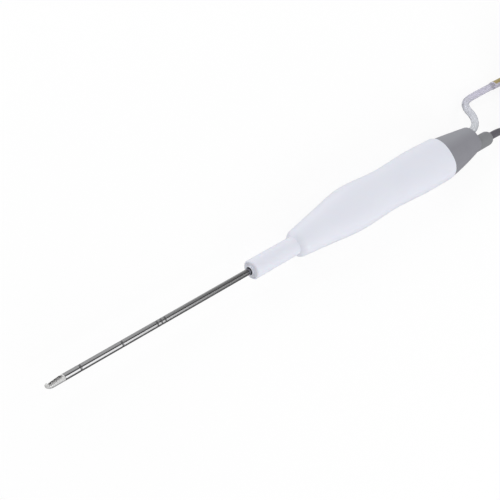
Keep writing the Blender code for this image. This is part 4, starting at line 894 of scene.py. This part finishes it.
# The electrode: a metal screen, blanked from sheet with three round openings and rolled-over
# edges. It stands just above the seat on a leg that runs down to the wire.
SCREEN = (SCREEN_LENGTH, 2.5, 0.35)
SCREEN_EDGE = 0.08
SCREEN_LIFT = 0.2
LEG_RADIUS = 0.2
OPENING_RADIUS = 0.75
OPENING_SHADE_RIM = 0.14
OPENINGS = (-1.775, 0.375, 2.525)


def rounded_outline(length, width, corner, steps=10):
    """A rectangle with round corners, centred, as a list of points."""
    outline = []
    for quarter, (sx, sy) in enumerate(((1, 1), (-1, 1), (-1, -1), (1, -1))):
        for step in range(steps + 1):
            angle = math.pi / 2 * (quarter + step / steps)
            x = sx * (length / 2 - corner) + corner * math.cos(angle)
            outline.append((x, sy * (width / 2 - corner) + corner * math.sin(angle)))
    return outline


def blanked(name, outlines, thickness, edge, material):
    """A flat plate from its outlines, with rolled edges, as a mesh in millimetres."""
    curve = bpy.data.curves.new(name, "CURVE")
    curve.dimensions = "2D"
    curve.fill_mode = "BOTH"
    curve.extrude = thickness / 2 - edge
    curve.bevel_depth = edge
    curve.bevel_resolution = 2
    curve.offset = -edge
    for outline in outlines:
        spline = curve.splines.new("POLY")
        spline.points.add(len(outline) - 1)
        for point, (x, y) in zip(spline.points, outline):
            point.co = (x, y, 0.0, 1.0)
        spline.use_cyclic_u = True
    lent = stand(name, curve)
    mesh = plain_mesh(lent)
    bpy.data.objects.remove(lent)
    return finish_mesh(stand(name, mesh), material=material)


screen_metal, screen_tree, screen_shader = new_surface("screen_metal", (0.3, 0.29, 0.28), 0.4, Metallic=1.0)
screen_place = wand_place(screen_tree, TIP_TURN)
screen_grain = grain(screen_tree, screen_place, 7.0, 4.0)
lift = seat_point(0.5, SCREEN_LIFT + SCREEN[2] / 2)
screen_x, screen_y, screen_z = parts_of(screen_tree, screen_place)
along_screen = (screen_x - lift.x) * math.cos(SEAT_SLOPE) + (screen_y - lift.y) * math.sin(SEAT_SLOPE)
# Painted shade: a ring round each opening is painted near black, as shade at the hole's edge
from_middles = [((along_screen - x) ** 2.0 + screen_z**2.0) ** 0.5 for x in OPENINGS]
rims = sum(distance < OPENING_RADIUS + OPENING_SHADE_RIM for distance in from_middles)
bare_tone = mixed(screen_tree, screen_grain, (0.66, 0.65, 0.64), (0.85, 0.84, 0.83))
screen_tone = mixed(screen_tree, rims.clamp() * 0.92, bare_tone, (0.04, 0.038, 0.036))
dress(screen_tree, screen_shader, screen_tone, screen_grain, (0.25, 0.3), (0.3, 0.02))

openings = []
for offset in OPENINGS:
    angles = [2 * math.pi * k / 32 for k in range(32)]
    openings.append([(offset + OPENING_RADIUS * math.cos(a), OPENING_RADIUS * math.sin(a)) for a in angles])
screen_outline = rounded_outline(SCREEN[0], SCREEN[1], SCREEN[1] / 2 - 0.2)
screen = blanked("screen_electrode", [screen_outline, *openings], SCREEN[2], SCREEN_EDGE, screen_metal)
upright = Matrix.Rotation(math.radians(-90), 4, "X")
screen.data.transform(Matrix.Translation(lift) @ Matrix.Rotation(SEAT_SLOPE, 4, "Z") @ upright)
head_y = seat_point(0.5, SCREEN_LIFT).y - math.tan(SEAT_SLOPE) * (seat_point(0.5).x - leg_x)
leg_low, leg_high = -WIRE_DROP + 0.2, head_y + SCREEN[2] * 0.6
leg_middle = Vector((leg_x, (leg_low + leg_high) / 2, 0.0))
cut(screen, [bar("leg", (0, leg_high - leg_low, 0), leg_middle, radius=LEG_RADIUS)], "UNION")
set_on_wand(screen, Matrix.Rotation(TIP_TURN, 4, "X"))
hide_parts("active_electrode")
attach(screen, "root")


# The bushing: a sleeve pressed in the mouth of the nose, pale on its face, with painted shade:
# a near black ring round the shaft, where the gap between them lies in shade. It insulates
# the shaft, holds it in the middle and stands a millimetre proud, which is half a millimetre
# more than its solid does.
bushing_low, bushing_high = spot("shaft_bushing")
BUSHING_RADIUS = (bushing_high.z - bushing_low.z) / 2
BUSHING_BORE = SHAFT_RADIUS + 0.08
BUSHING_MORE = 0.5
GAP_SHADE_RADIUS = 2.48

dark_sleeve, sleeve_tree, sleeve_shader = new_surface("dark_sleeve", (0.05, 0.05, 0.055), 0.5)
sleeve_place = wand_place(sleeve_tree)
sleeve_y, sleeve_z = parts_of(sleeve_tree, sleeve_place)[1:]
sleeve_radius = (sleeve_y**2.0 + sleeve_z**2.0) ** 0.5
sleeve_grain = grain(sleeve_tree, sleeve_place, 3.0, 3.0)
gap_painted_shade = mixed(sleeve_tree, sleeve_grain, (0.05, 0.052, 0.065), (0.09, 0.092, 0.11))
# Painted shade: within a radius of 2.48 mm the face is painted near black, for the shade in the gap round the
# shaft
sleeve_tone = mixed(sleeve_tree, sleeve_radius > GAP_SHADE_RADIUS, gap_painted_shade, (0.7, 0.71, 0.77))
feed(sleeve_tree, sleeve_shader, Base_Color=sleeve_tone, Normal=bumped(sleeve_tree, sleeve_grain, 0.3, 0.03))

bushing_front = bushing_low.x - BUSHING_MORE
bushing_profile = [(bushing_front, BUSHING_BORE), (bushing_front, BUSHING_RADIUS)]
bushing_profile += [(bushing_high.x, BUSHING_RADIUS), (bushing_high.x, BUSHING_BORE)]
bushing = turned("nose_sleeve", bushing_profile, dark_sleeve, edge=0.08)
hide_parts("shaft_bushing")
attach(bushing, "root")


# The handle's two shells: moulded in white plastic, with a straight round nose, a shoulder
# and a long grip that swells and narrows like a pen's. They are glued at the split, which
# lies along the wand's outline, and their rear rim goes into the boot.
NOSE_RADIUS = 5.85
NOSE_LENGTH = 34.6
NOSE_BEVEL = 0.6
SHOULDER_END = 39.0
HANDLE_LENGTH = 180.7
SHELL_WALL = 2.0
SQUARED = 2.25
SPLIT_GAP = 0.15
REAR_EDGE = 0.5
RIM_LENGTH = 6.0
RIM_INSET = 2.3
RIM_WALL = 1.6
SLEEVE_BORE = (14.3, 2.72)
LEDGE_BORE = (15.9, 2.18)
BOOT_LENGTH = 38.1
BOOT_STEP = (0.9, 0.3, 0.5)
BOOT_TAPER = (12.7, 6.6, 8.8)
BOOT_BELLY = (0.1, 0.6, 0.4)
GRIP_SECTIONS = (
    (0.0, 8.8, 8.5, 8.2),
    (0.152, 12.9, 10.4, 10.2),
    (0.3, 16.7, 12.5, 12.5),
    (0.375, 17.4, 12.8, 13.0),
    (0.587, 16.2, 12.0, 12.1),
    (0.81, 17.6, 13.5, 13.0),
    (1.0, 17.3, 13.7, 12.6),
)


def grip_size(x):
    """How far the grip goes above, below and beside the shaft's line at a place along it."""
    share = min(max((x - SHOULDER_END) / (HANDLE_LENGTH - SHOULDER_END), 0.0), 1.0)
    last = len(GRIP_SECTIONS) - 1
    k = max(i for i in range(last) if GRIP_SECTIONS[i][0] <= share or i == 0)
    span = GRIP_SECTIONS[k + 1][0] - GRIP_SECTIONS[k][0]
    t = (share - GRIP_SECTIONS[k][0]) / span
    sizes = []
    for column in (1, 2, 3):
        slopes = []
        for i in (k, k + 1):
            before, after = GRIP_SECTIONS[max(i - 1, 0)], GRIP_SECTIONS[min(i + 1, last)]
            slopes.append((after[column] - before[column]) / (after[0] - before[0]) * span)
        here = (2 * t**3 - 3 * t**2 + 1) * GRIP_SECTIONS[k][column] + (t**3 - 2 * t**2 + t) * slopes[0]
        there = (3 * t**2 - 2 * t**3) * GRIP_SECTIONS[k + 1][column] + (t**3 - t**2) * slopes[1]
        sizes.append(here + there)
    return sizes


def boot_size(x):
    """The same for the boot, which starts a little inside the shells' outline."""
    share = min(max((x - boot_front) / BOOT_LENGTH, 0.0), 1.0)
    sizes = []
    for shell, step, end, belly in zip(grip_size(HANDLE_LENGTH), BOOT_STEP, BOOT_TAPER, BOOT_BELLY):
        start = shell - step
        sizes.append(start + share * (end - start) + 4 * belly * share * (1 - share))
    return sizes


def grip_station(x, inset, sizes=grip_size):
    """A station of the grip or the boot, as far inside its outline as inset says."""
    return (x, *(size - inset for size in sizes(x)), SQUARED, 0.0)


def shell_stations():
    """Outside from the mouth to the rear rim, then back along the inside of the wall."""
    outside = []
    for share in (0.0, 0.4, 1.0):
        radius = NOSE_RADIUS - NOSE_BEVEL * (1 - share) ** 1.3
        outside.append((NOSE_BEVEL * share, radius, radius, radius, 2.0, 0.0))
    for share in (0.25, 0.5, 0.75, 0.93):
        outside.append((NOSE_LENGTH * share, NOSE_RADIUS, NOSE_RADIUS, NOSE_RADIUS, 2.0, 0.0))
    grip_start = grip_size(SHOULDER_END)
    for step in range(17):
        share = step / 16
        swell = math.sin(share * math.pi / 2) ** 0.8 if step else 0.0
        sizes = [NOSE_RADIUS + swell * (size - NOSE_RADIUS) for size in grip_start]
        x = NOSE_LENGTH + share * (SHOULDER_END - NOSE_LENGTH)
        outside.append((x, *sizes, 2.0 + (SQUARED - 2.0) * share, 0.0))
    steps = 84
    for step in range(1, steps + 1):
        x = SHOULDER_END + (HANDLE_LENGTH - REAR_EDGE - SHOULDER_END) * step / steps
        outside.append(grip_station(x, 0.0))
    for step in range(1, 5):
        angle = math.pi / 2 * step / 4
        x = HANDLE_LENGTH - REAR_EDGE * (1 - math.sin(angle))
        outside.append(grip_station(x, REAR_EDGE * (1 - math.cos(angle))))
    rim_end = HANDLE_LENGTH + RIM_LENGTH
    outside.append(grip_station(HANDLE_LENGTH, RIM_INSET, boot_size))
    outside.append(grip_station(rim_end - 0.4, RIM_INSET, boot_size))
    outside.append(grip_station(rim_end, RIM_INSET + 0.4, boot_size))
    inside = [grip_station(rim_end, RIM_INSET + RIM_WALL, boot_size)]
    inside.append(grip_station(HANDLE_LENGTH - SHELL_WALL, RIM_INSET + RIM_WALL, boot_size))
    for step in range(33):
        share = step / 32
        x = HANDLE_LENGTH - SHELL_WALL - share * (HANDLE_LENGTH - 2 * SHELL_WALL - SHOULDER_END)
        inside.append(grip_station(x, SHELL_WALL))
    core = NOSE_RADIUS - SHELL_WALL
    bore = [(SHOULDER_END + SHELL_WALL, core), (LEDGE_BORE[0], core), LEDGE_BORE]
    bore += [(SLEEVE_BORE[0], LEDGE_BORE[1]), SLEEVE_BORE, (0.0, SLEEVE_BORE[1])]
    for x, radius in bore:
        inside.append((x, radius, radius, radius, 2.0, 0.0))
    return [*outside, *inside, outside[0]]


boot_low, boot_high = spot("rear_boot")
boot_front = boot_low.x
white_plastic, white_tree, white_shader = new_surface(
    "white_plastic", (0.77, 0.785, 0.86), 0.42, Subsurface_Weight=0.06, Subsurface_Scale=0.002
)
white_place = wand_place(white_tree)
white_grain = grain(white_tree, white_place, 4.0, 4.0)
white_cloud = grain(white_tree, white_place, 0.03, 2.0)
white_tone = mixed(white_tree, white_cloud, (0.75, 0.765, 0.845), (0.79, 0.805, 0.875))
dress(white_tree, white_shader, white_tone, white_grain, (0.14, 0.34), (0.16, 0.02))

halves = (("shell_facing_up", "handle_shell_right", 1), ("shell_facing_down", "handle_shell_left", -1))
for name, node, side in halves:
    shell = ovals(name, shell_stations(), white_plastic, around=56, half=side, gap=SPLIT_GAP)
    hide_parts(node)
    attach(shell, "root")


# The boot: a soft grey cap moulded over the shells' rim. It tapers to a rounded end with
# two holes, one for the cable's gland and one for the suction tube.
BOOT_WALL = 2.0
BOOT_EDGE = 1.5
BOOT_LIP = 0.25
GLAND_HOLE = 2.7
TUBE_HOLE = 2.95
UPPER_LIGHT_START, UPPER_LIGHT_OVER, UPPER_LIGHT_SHARE = 4.0, 6.0, 0.8

boot_rubber, boot_tree, boot_shader = new_surface("boot_rubber", (0.25, 0.25, 0.28), 0.5)
boot_place = wand_place(boot_tree)
boot_grain = grain(boot_tree, boot_place, 2.6, 5.0)
boot_cloud = grain(boot_tree, boot_place, 0.08, 2.0)
# Painted light: the boot's upper side is painted paler, for the light that falls on it there
upper_side_light = ((parts_of(boot_tree, boot_place)[1] - UPPER_LIGHT_START) / UPPER_LIGHT_OVER).clamp()
boot_moulded = mixed(boot_tree, boot_cloud, (0.24, 0.24, 0.267), (0.28, 0.28, 0.308))
boot_tone = mixed(boot_tree, upper_side_light * UPPER_LIGHT_SHARE, boot_moulded, (0.325, 0.33, 0.36))
dress(boot_tree, boot_shader, boot_tone, boot_grain, (0.16, 0.42), (0.3, 0.03))

boot_rear = boot_high.x
boot_stations = [grip_station(boot_front, BOOT_LIP, boot_size)]
boot_stations.append(grip_station(boot_front + BOOT_LIP, 0.0, boot_size))
for step in range(1, 29):
    x = boot_front + BOOT_LIP + (boot_rear - BOOT_EDGE - boot_front - BOOT_LIP) * step / 28
    boot_stations.append(grip_station(x, 0.0, boot_size))
for step in range(1, 9):
    angle = math.pi / 2 * step / 8
    x = boot_rear - BOOT_EDGE * (1 - math.sin(angle))
    boot_stations.append(grip_station(x, BOOT_EDGE * (1 - math.cos(angle)), boot_size))
for share in (0.7, 0.35, 0.0):
    above, below, beside = (share * (size - BOOT_EDGE) for size in boot_size(boot_rear))
    boot_stations.append((boot_rear, above, below, beside, SQUARED, 0.0))
inner_end = boot_rear - BOOT_WALL
above, below, beside = (size - BOOT_WALL for size in boot_size(inner_end))
boot_stations += [(inner_end, 0.0, 0.0, 0.0, SQUARED, 0.0), (inner_end, above, below, beside, SQUARED, 0.0)]
for step in range(1, 15):
    x = inner_end - (inner_end - boot_front) * step / 14
    boot_stations.append(grip_station(x, BOOT_WALL, boot_size))
boot_stations.append(boot_stations[0])
boot = in_millimetres(ovals("rear_cap", boot_stations, boot_rubber, around=112))
through = (3 * BOOT_WALL, 0, 0)
holes = [
    bar("gland_hole", through, Vector((boot_rear, gland_y, 0.0)), radius=GLAND_HOLE),
    bar("tube_hole", through, Vector((boot_rear, outlet_y, 0.0)), radius=TUBE_HOLE),
]
cut(boot, holes)
set_on_wand(boot)
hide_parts("rear_boot")
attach(boot, "root")


# The gland: the cable's strain relief, moulded on it in the boot's own rubber. Its neck
# snaps into the boot's hole and its round barrel ends in a soft rounding.
GLAND_NECK = 2.4
GLAND_FLANGE = 3.2
FLANGE_THICK = 2.0
GLAND_SOCKET = 3.0
GLAND_ROUNDING = 3.2


def grained(name, base, roughness, tones, noise, rough, bump=None, **constants):
    """A plain finish: one fine grain (scale, detail) moves its tone, roughness and bump."""
    material, tree, shader = new_surface(name, base, roughness, **constants)
    fine = grain(tree, wand_place(tree), *noise)
    dress(tree, shader, mixed(tree, fine, *tones), fine, rough, bump)
    return material


gland_radius = (gland_high.z - gland_low.z) / 2
barrel_start = boot_rear + 0.3
cable_fit = CABLE_DIAMETER / 2 + 0.2
gland_tones = (0.205, 0.21, 0.22), (0.265, 0.27, 0.28)
gland_rubber = grained(
    "gland_rubber", (0.235, 0.24, 0.25), 0.45, gland_tones, (2.2, 5.0), (0.16, 0.36), (0.3, 0.03)
)

gland_profile = [
    (gland_low.x, 0.0),
    (gland_low.x, GLAND_FLANGE),
    (gland_low.x + FLANGE_THICK, GLAND_FLANGE),
    (gland_low.x + FLANGE_THICK, GLAND_NECK),
    (barrel_start, GLAND_NECK),
    (barrel_start, gland_radius - 0.4),
    (barrel_start + 0.4, gland_radius),
    (gland_high.x - GLAND_ROUNDING, gland_radius),
]
drop = min(GLAND_ROUNDING, gland_radius - cable_fit - 0.4)
for step in range(1, 13):
    angle = math.pi / 2 * step / 12
    x = gland_high.x - GLAND_ROUNDING * (1 - math.sin(angle))
    gland_profile.append((x, gland_radius - drop * (1 - math.cos(angle))))
gland_profile += [(gland_high.x, cable_fit + 0.1), (gland_high.x - 0.15, cable_fit)]
gland_profile += [(gland_high.x - GLAND_SOCKET, cable_fit), (gland_high.x - GLAND_SOCKET, 0.0)]
gland = turned("cable_relief", gland_profile, gland_rubber, (0.0, gland_y, 0.0))
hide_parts("cable_gland")
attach(gland, "root")


# The plug: a flat housing in the boot's grey, moulded in one with grip grooves above and
# below. Its mouth takes the power unit's tongue between two rows of pins.
PLUG_WALL = 2.0
PLUG_EDGE = 2.5
PLUG_MOUTH = 11.0
GROOVES = 5
GROOVE_SIZE = (1.4, 18.0, 1.4)
GROOVE_PITCH = 3.2
GROOVE_EDGE = 0.3
MOUTH_EDGE = 1.0


def row_tree():
    """The tree that repeats a piece along a line: how many, how far apart and which way."""
    inputs = {"Piece": "Geometry", "Count": "Int", "Pitch": "Vector", "Rows": "Int"}
    inputs.update({"Row Pitch": "Vector", "Material": "Material"})
    tree, given = new_shape_tree("pieces_in_a_row", inputs, "Pieces")
    line = {"Count": given.out("Count"), "Offset": given.out("Pitch")}
    places = tree.node("GeometryNodeMeshLine", {"mode": "OFFSET"}, line).out()
    rows = {"Count": given.out("Rows"), "Offset": given.out("Row Pitch")}
    starts = tree.node("GeometryNodeMeshLine", {"mode": "OFFSET"}, rows).out()
    grid = tree.node("GeometryNodeInstanceOnPoints", None, {"Points": starts, "Instance": places}).out()
    grid = tree.node("GeometryNodeRealizeInstances", None, {"Geometry": grid}).out()
    pieces = {"Points": grid, "Instance": given.out("Piece")}
    row = tree.node("GeometryNodeInstanceOnPoints", None, pieces).out()
    return end_shape_tree(tree, given, row, "Pieces")


IN_ROWS = row_tree()


def in_rows(item, count, pitch, rows, row_pitch, material, first):
    """Repeats a piece made in millimetres about its own middle, in rows from the first place."""
    name, mesh = item.name, item.data
    mesh.transform(Matrix.Scale(MM, 4))
    bpy.data.objects.remove(item)
    values = {
        "Count": count,
        "Pitch": [value * MM for value in pitch],
        "Rows": rows,
        "Row Pitch": [value * MM for value in row_pitch],
        "Material": material,
    }
    return made_by(IN_ROWS, name, mesh, values, first)


plug_low, plug_high = spot("plug_shell")
plug_middle = (plug_low + plug_high) / 2
plug_size = plug_high - plug_low

plug_tones = (0.225, 0.225, 0.25), (0.28, 0.28, 0.31)
plug_grey = grained(
    "plug_grey", (0.25, 0.25, 0.28), 0.45, plug_tones, (2.4, 5.0), (0.16, 0.36), (0.3, 0.03)
)


def rounded_box(name, size, middle, edge):
    """A box with rounded edges, in millimetres."""
    work = bmesh.new()
    bmesh.ops.create_cube(work, size=1.0, matrix=Matrix.Diagonal((*size, 1.0)))
    bmesh.ops.bevel(work, geom=work.edges[:], offset=edge, segments=6, profile=0.5, affect="EDGES")
    item = from_work(name, work)
    item.data.transform(Matrix.Translation(middle))
    return item


plug = rounded_box("plug_housing", plug_size, plug_middle, PLUG_EDGE)
plug.data.materials.append(plug_grey)
mouth_size = (2 * PLUG_MOUTH, plug_size.y - 2 * PLUG_WALL, plug_size.z - 2 * PLUG_WALL)
mouth_middle = Vector((plug_low.x, plug_middle.y, plug_middle.z))
first_groove = plug_high.x - 2 * PLUG_EDGE - GROOVE_SIZE[0] / 2 - (GROOVES - 1) * GROOVE_PITCH
groove = rounded_box("grip_grooves", GROOVE_SIZE, Vector((0.0, 0.0, 0.0)), GROOVE_EDGE)
groove_place = (first_groove, plug_middle.y, plug_low.z)
groove_steps = ((GROOVE_PITCH, 0.0, 0.0), 2, (0.0, 0.0, plug_size.z))
grooves = in_millimetres(in_rows(groove, GROOVES, *groove_steps, plug_grey, groove_place))
cut(plug, [rounded_box("mouth_cut", mouth_size, mouth_middle, MOUTH_EDGE), grooves])
set_on_wand(plug)
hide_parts("plug_shell")
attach(plug, "root")


# The plug's insert: a black moulded plate with ten holes, pressed in at the bottom of the
# plug's mouth. It holds the pins and keeps them apart.
insert_low, insert_high = spot("plug_insert")
black_tones = (0.024, 0.024, 0.026), (0.045, 0.045, 0.048)
black_plastic = grained(
    "black_plastic", (0.03, 0.03, 0.032), 0.45, black_tones, (3.0, 4.0), (0.2, 0.35), (0.3, 0.03)
)

PIN_RADIUS = 0.75
PIN_COLUMNS = 5
PIN_PITCH = 5.2
PIN_ROWS = 2
PIN_ROW_PITCH = 6.0
PIN_PLAY = 0.2
PLATE_EDGE = 0.3
pin_low, pin_high = spot("plug_pin_1")
pin_length = pin_high.x - pin_low.x
pin_start = (pin_low + pin_high) / 2
pin_layout = (PIN_COLUMNS, (0.0, PIN_PITCH, 0.0), PIN_ROWS, (0.0, 0.0, PIN_ROW_PITCH))

insert = rounded_box("pin_plate", insert_high - insert_low, (insert_low + insert_high) / 2, PLATE_EDGE)
insert.data.materials.append(black_plastic)
hole_deep = 3 * (insert_high.x - insert_low.x)
pin_hole = bar("pin_holes", (hole_deep, 0, 0), Vector((0, 0, 0)), radius=PIN_RADIUS + PIN_PLAY)
hole_place = ((insert_low.x + insert_high.x) / 2, pin_start.y, pin_start.z)
cut(insert, [in_millimetres(in_rows(pin_hole, *pin_layout, black_plastic, hole_place))])
set_on_wand(insert)
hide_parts("plug_insert")
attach(insert, "root")


# The plug's pins: ten turned brass pins with round ends, gold plated. They are pressed into
# the insert in two rows of five.
plated_tones = (0.72, 0.5, 0.19), (0.86, 0.65, 0.3)
plated = grained(
    "gold_plating", (0.8, 0.58, 0.24), 0.25, plated_tones, (5.0, 3.0), (0.2, 0.15), Metallic=1.0
)

pin_rod = bar("contact_pins", (pin_length, 0, 0), Vector((0, 0, 0)), radius=PIN_RADIUS)
rounding = bmesh.new()
rounding.from_mesh(pin_rod.data)
rims = [edge for edge in rounding.edges if abs(edge.verts[0].co.x - edge.verts[1].co.x) < 1e-4]
bmesh.ops.bevel(rounding, geom=rims, offset=0.3, segments=4, profile=0.5, affect="EDGES")
rounding.to_mesh(pin_rod.data)
rounding.free()
pins = finish_mesh(in_rows(pin_rod, *pin_layout, plated, tuple(pin_start)))
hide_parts(*[f"plug_pin_{k + 1}" for k in range(PIN_COLUMNS * PIN_ROWS)])
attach(pins, "root")


# The plug's relief: a ribbed cone of soft grey rubber, moulded on the cable behind the plug.
# Its ribs let it bend little by little, so that the cable doesn't kink there.
RELIEF_RIBS = 5
RELIEF_RADII = (5.0, 4.0)
RIB_SHARE = 0.6
RIB_DEPTH = 0.6

relief_start, relief_end = relief_low.x, relief_high.x
pitch = (relief_end - relief_start) / (RELIEF_RIBS + 1)
relief_profile = [(relief_start, 0.0)]
for k in range(RELIEF_RIBS + 1):
    size = RELIEF_RADII[0] + (RELIEF_RADII[1] - RELIEF_RADII[0]) * k / (RELIEF_RIBS + 1)
    x = relief_start + k * pitch
    rib_end = x + pitch * RIB_SHARE
    relief_profile += [(x, size), (rib_end, size)]
    relief_profile += [(rib_end, size - RIB_DEPTH), (x + pitch, size - RIB_DEPTH)]
relief_profile += [(relief_end, cable_fit), (relief_end - pitch / 2, cable_fit)]
relief_profile += [(relief_end - pitch / 2, 0.0)]
relief = turned("plug_strain_relief", relief_profile, gland_rubber, (0.0, relief_y, relief_z), 0.15)
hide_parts("plug_relief")
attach(relief, "root")


# The suction connector: a soft clear funnel, moulded and bonded on the tube's end, with
# three grip rings and a wide socket for a suction line.
CONNECTOR_RADIUS = 6.0
CONNECTOR_NECK = 4.2
CONNECTOR_BORE = 3.8
CONNECTOR_DEPTH = 22.0
NECK_BORE = 1.6
TUBE_SOCKET = 6.0
GRIP_RINGS = (3, 9.0, 4.0)

soft_tones = (0.54, 0.56, 0.64), (0.7, 0.72, 0.78)
soft_look = {"Transmission_Weight": 0.35, "IOR": 1.35}
soft_clear = grained(
    "soft_clear", (0.6, 0.62, 0.7), 0.3, soft_tones, (0.9, 4.0), (0.25, 0.18), (0.3, 0.05), **soft_look
)

front, rear = connector_low.x, connector_high.x
connector_profile = [
    (front, CONNECTOR_RADIUS - 0.3),
    (front + 0.3, CONNECTOR_RADIUS),
    (front + 3.0, CONNECTOR_RADIUS),
    (front + 3.6, CONNECTOR_RADIUS - 0.8),
]
for k in range(GRIP_RINGS[0]):
    ring = front + GRIP_RINGS[1] + GRIP_RINGS[2] * k
    connector_profile += [(ring, CONNECTOR_RADIUS - 0.9), (ring + 0.6, CONNECTOR_RADIUS - 0.3)]
    connector_profile += [(ring + 2.2, CONNECTOR_RADIUS - 0.3), (ring + 2.8, CONNECTOR_RADIUS - 0.9)]
bore_end = front + CONNECTOR_DEPTH
tube_fit = TUBE_DIAMETER / 2 + 0.1
connector_profile += [
    (bore_end + 2.0, CONNECTOR_RADIUS - 1.0),
    (bore_end + 6.0, CONNECTOR_NECK),
    (rear, CONNECTOR_NECK),
    (rear, tube_fit),
    (rear - TUBE_SOCKET, tube_fit),
    (rear - TUBE_SOCKET, NECK_BORE),
    (bore_end, NECK_BORE),
    (bore_end, CONNECTOR_BORE - 0.3),
    (front, CONNECTOR_BORE),
]
connector = turned("suction_funnel", connector_profile, soft_clear, (0.0, connector_y, connector_z), 0.2)
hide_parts("suction_connector")
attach(connector, "root")


# The ties: a black woven strap round each hank, closed with its own overlap on the side. With
# them on, each cord is whole.
STRAP = (9.0, 0.6)
STRAP_OVERLAP = 14.0


def strap_tree():
    """The tree that draws a flat strap along a path."""
    inputs = {"Path": "Geometry", "Width": "Float", "Thickness": "Float", "Material": "Material"}
    tree, given = new_shape_tree("strap_on_a_path", inputs, "Strap")
    path = tree.node("GeometryNodeMeshToCurve", None, {"Mesh": given.out("Path")}).out()
    size = {"Width": given.out("Width"), "Height": given.out("Thickness")}
    section = tree.node("GeometryNodeCurvePrimitiveQuadrilateral", {"mode": "RECTANGLE"}, size).out()
    rounded = {"Curve": section, "Radius": given.out("Thickness") * 0.3, "Count": 3}
    section = tree.node("GeometryNodeFilletCurve", {"mode": "POLY"}, rounded).out()
    drawn_strap = {"Curve": path, "Profile Curve": section, "Fill Caps": True}
    strap = tree.node("GeometryNodeCurveToMesh", None, drawn_strap).out()
    return end_shape_tree(tree, given, strap, "Strap")


STRAPS = strap_tree()
webbing, web_tree, web_shader = new_surface("woven_strap", (0.03, 0.03, 0.033), 0.8)
web_place = wand_place(web_tree)
web_x, web_y, web_z = parts_of(web_tree, web_place)
warp = (web_x * 9.0).maths("SINE") * ((web_y + web_z) * 7.0).maths("SINE")
threads = warp * 0.5 + 0.5
web_tone = mixed(web_tree, threads, (0.018, 0.018, 0.02), (0.055, 0.055, 0.06))
feed(web_tree, web_shader, Base_Color=web_tone, Normal=bumped(web_tree, threads, 0.6, 0.12))

for name, node, diameter in (
    ("cable_strap", "cable_tie", CABLE_DIAMETER),
    ("tube_strap", "tube_tie", TUBE_DIAMETER),
):
    tie_low, tie_high = spot(node)
    middle = (tie_low + tie_high) / 2
    width, height = tie_high.y - tie_low.y - STRAP[1], tie_high.z - tie_low.z - STRAP[1]
    loop = rounded_outline(width, height, diameter / 2 + STRAP[1] / 2, 8)
    outer = -width / 2 + 0.01
    start = next(k for k in range(len(loop)) if loop[k][0] <= outer and loop[k][1] > 0)
    loop = [*loop[start:], *loop[:start]]
    down = loop[0][1]
    outer_x = -width / 2 - STRAP[1] - 0.02
    loop += [(-width / 2 - 0.1, down + 1.6), (outer_x, down - 0.6), (outer_x, down - STRAP_OVERLAP)]
    path_mesh = bpy.data.meshes.new(name)
    path_points = [(0.0, x * MM, y * MM) for x, y in loop]
    path_mesh.from_pydata(path_points, [(k, k + 1) for k in range(len(path_points) - 1)], [])
    values = {"Width": STRAP[0] * MM, "Thickness": STRAP[1] * MM, "Material": webbing}
    strap = finish_mesh(made_by(STRAPS, name, path_mesh, values, tuple(middle)))
    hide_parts(node)
    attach(strap, "root")


# The pieces inside the shells and the shaft: moulded fittings in natural plastic, brass
# contacts crimped on, a red insulated core for the electrode and a black one for the return.
natural_tones = (0.64, 0.62, 0.54), (0.76, 0.74, 0.67)
natural = grained("natural_moulding", (0.7, 0.68, 0.6), 0.5, natural_tones, (2.0, 4.0), (0.2, 0.38))
brass_tones = (0.6, 0.41, 0.15), (0.78, 0.58, 0.27)
brass = grained("rolled_brass", (0.7, 0.5, 0.2), 0.3, brass_tones, (3.0, 4.0), (0.25, 0.2), Metallic=1.0)
red_tones = (0.38, 0.03, 0.022), (0.52, 0.06, 0.045)
red_skin = grained("red_insulation", (0.45, 0.04, 0.03), 0.4, red_tones, (2.0, 4.0), (0.2, 0.3))

for node, finish in (
    ("suction_lumen", natural),
    ("shaft_hub", natural),
    ("suction_adapter", natural),
    ("return_clip", brass),
    ("active_crimp", brass),
    ("electrode_wire", red_skin),
    ("active_lead", red_skin),
    ("return_lead", black_plastic),
    ("inner_hose", soft_clear),
):
    nodes[node].material_slots[0].material = finish
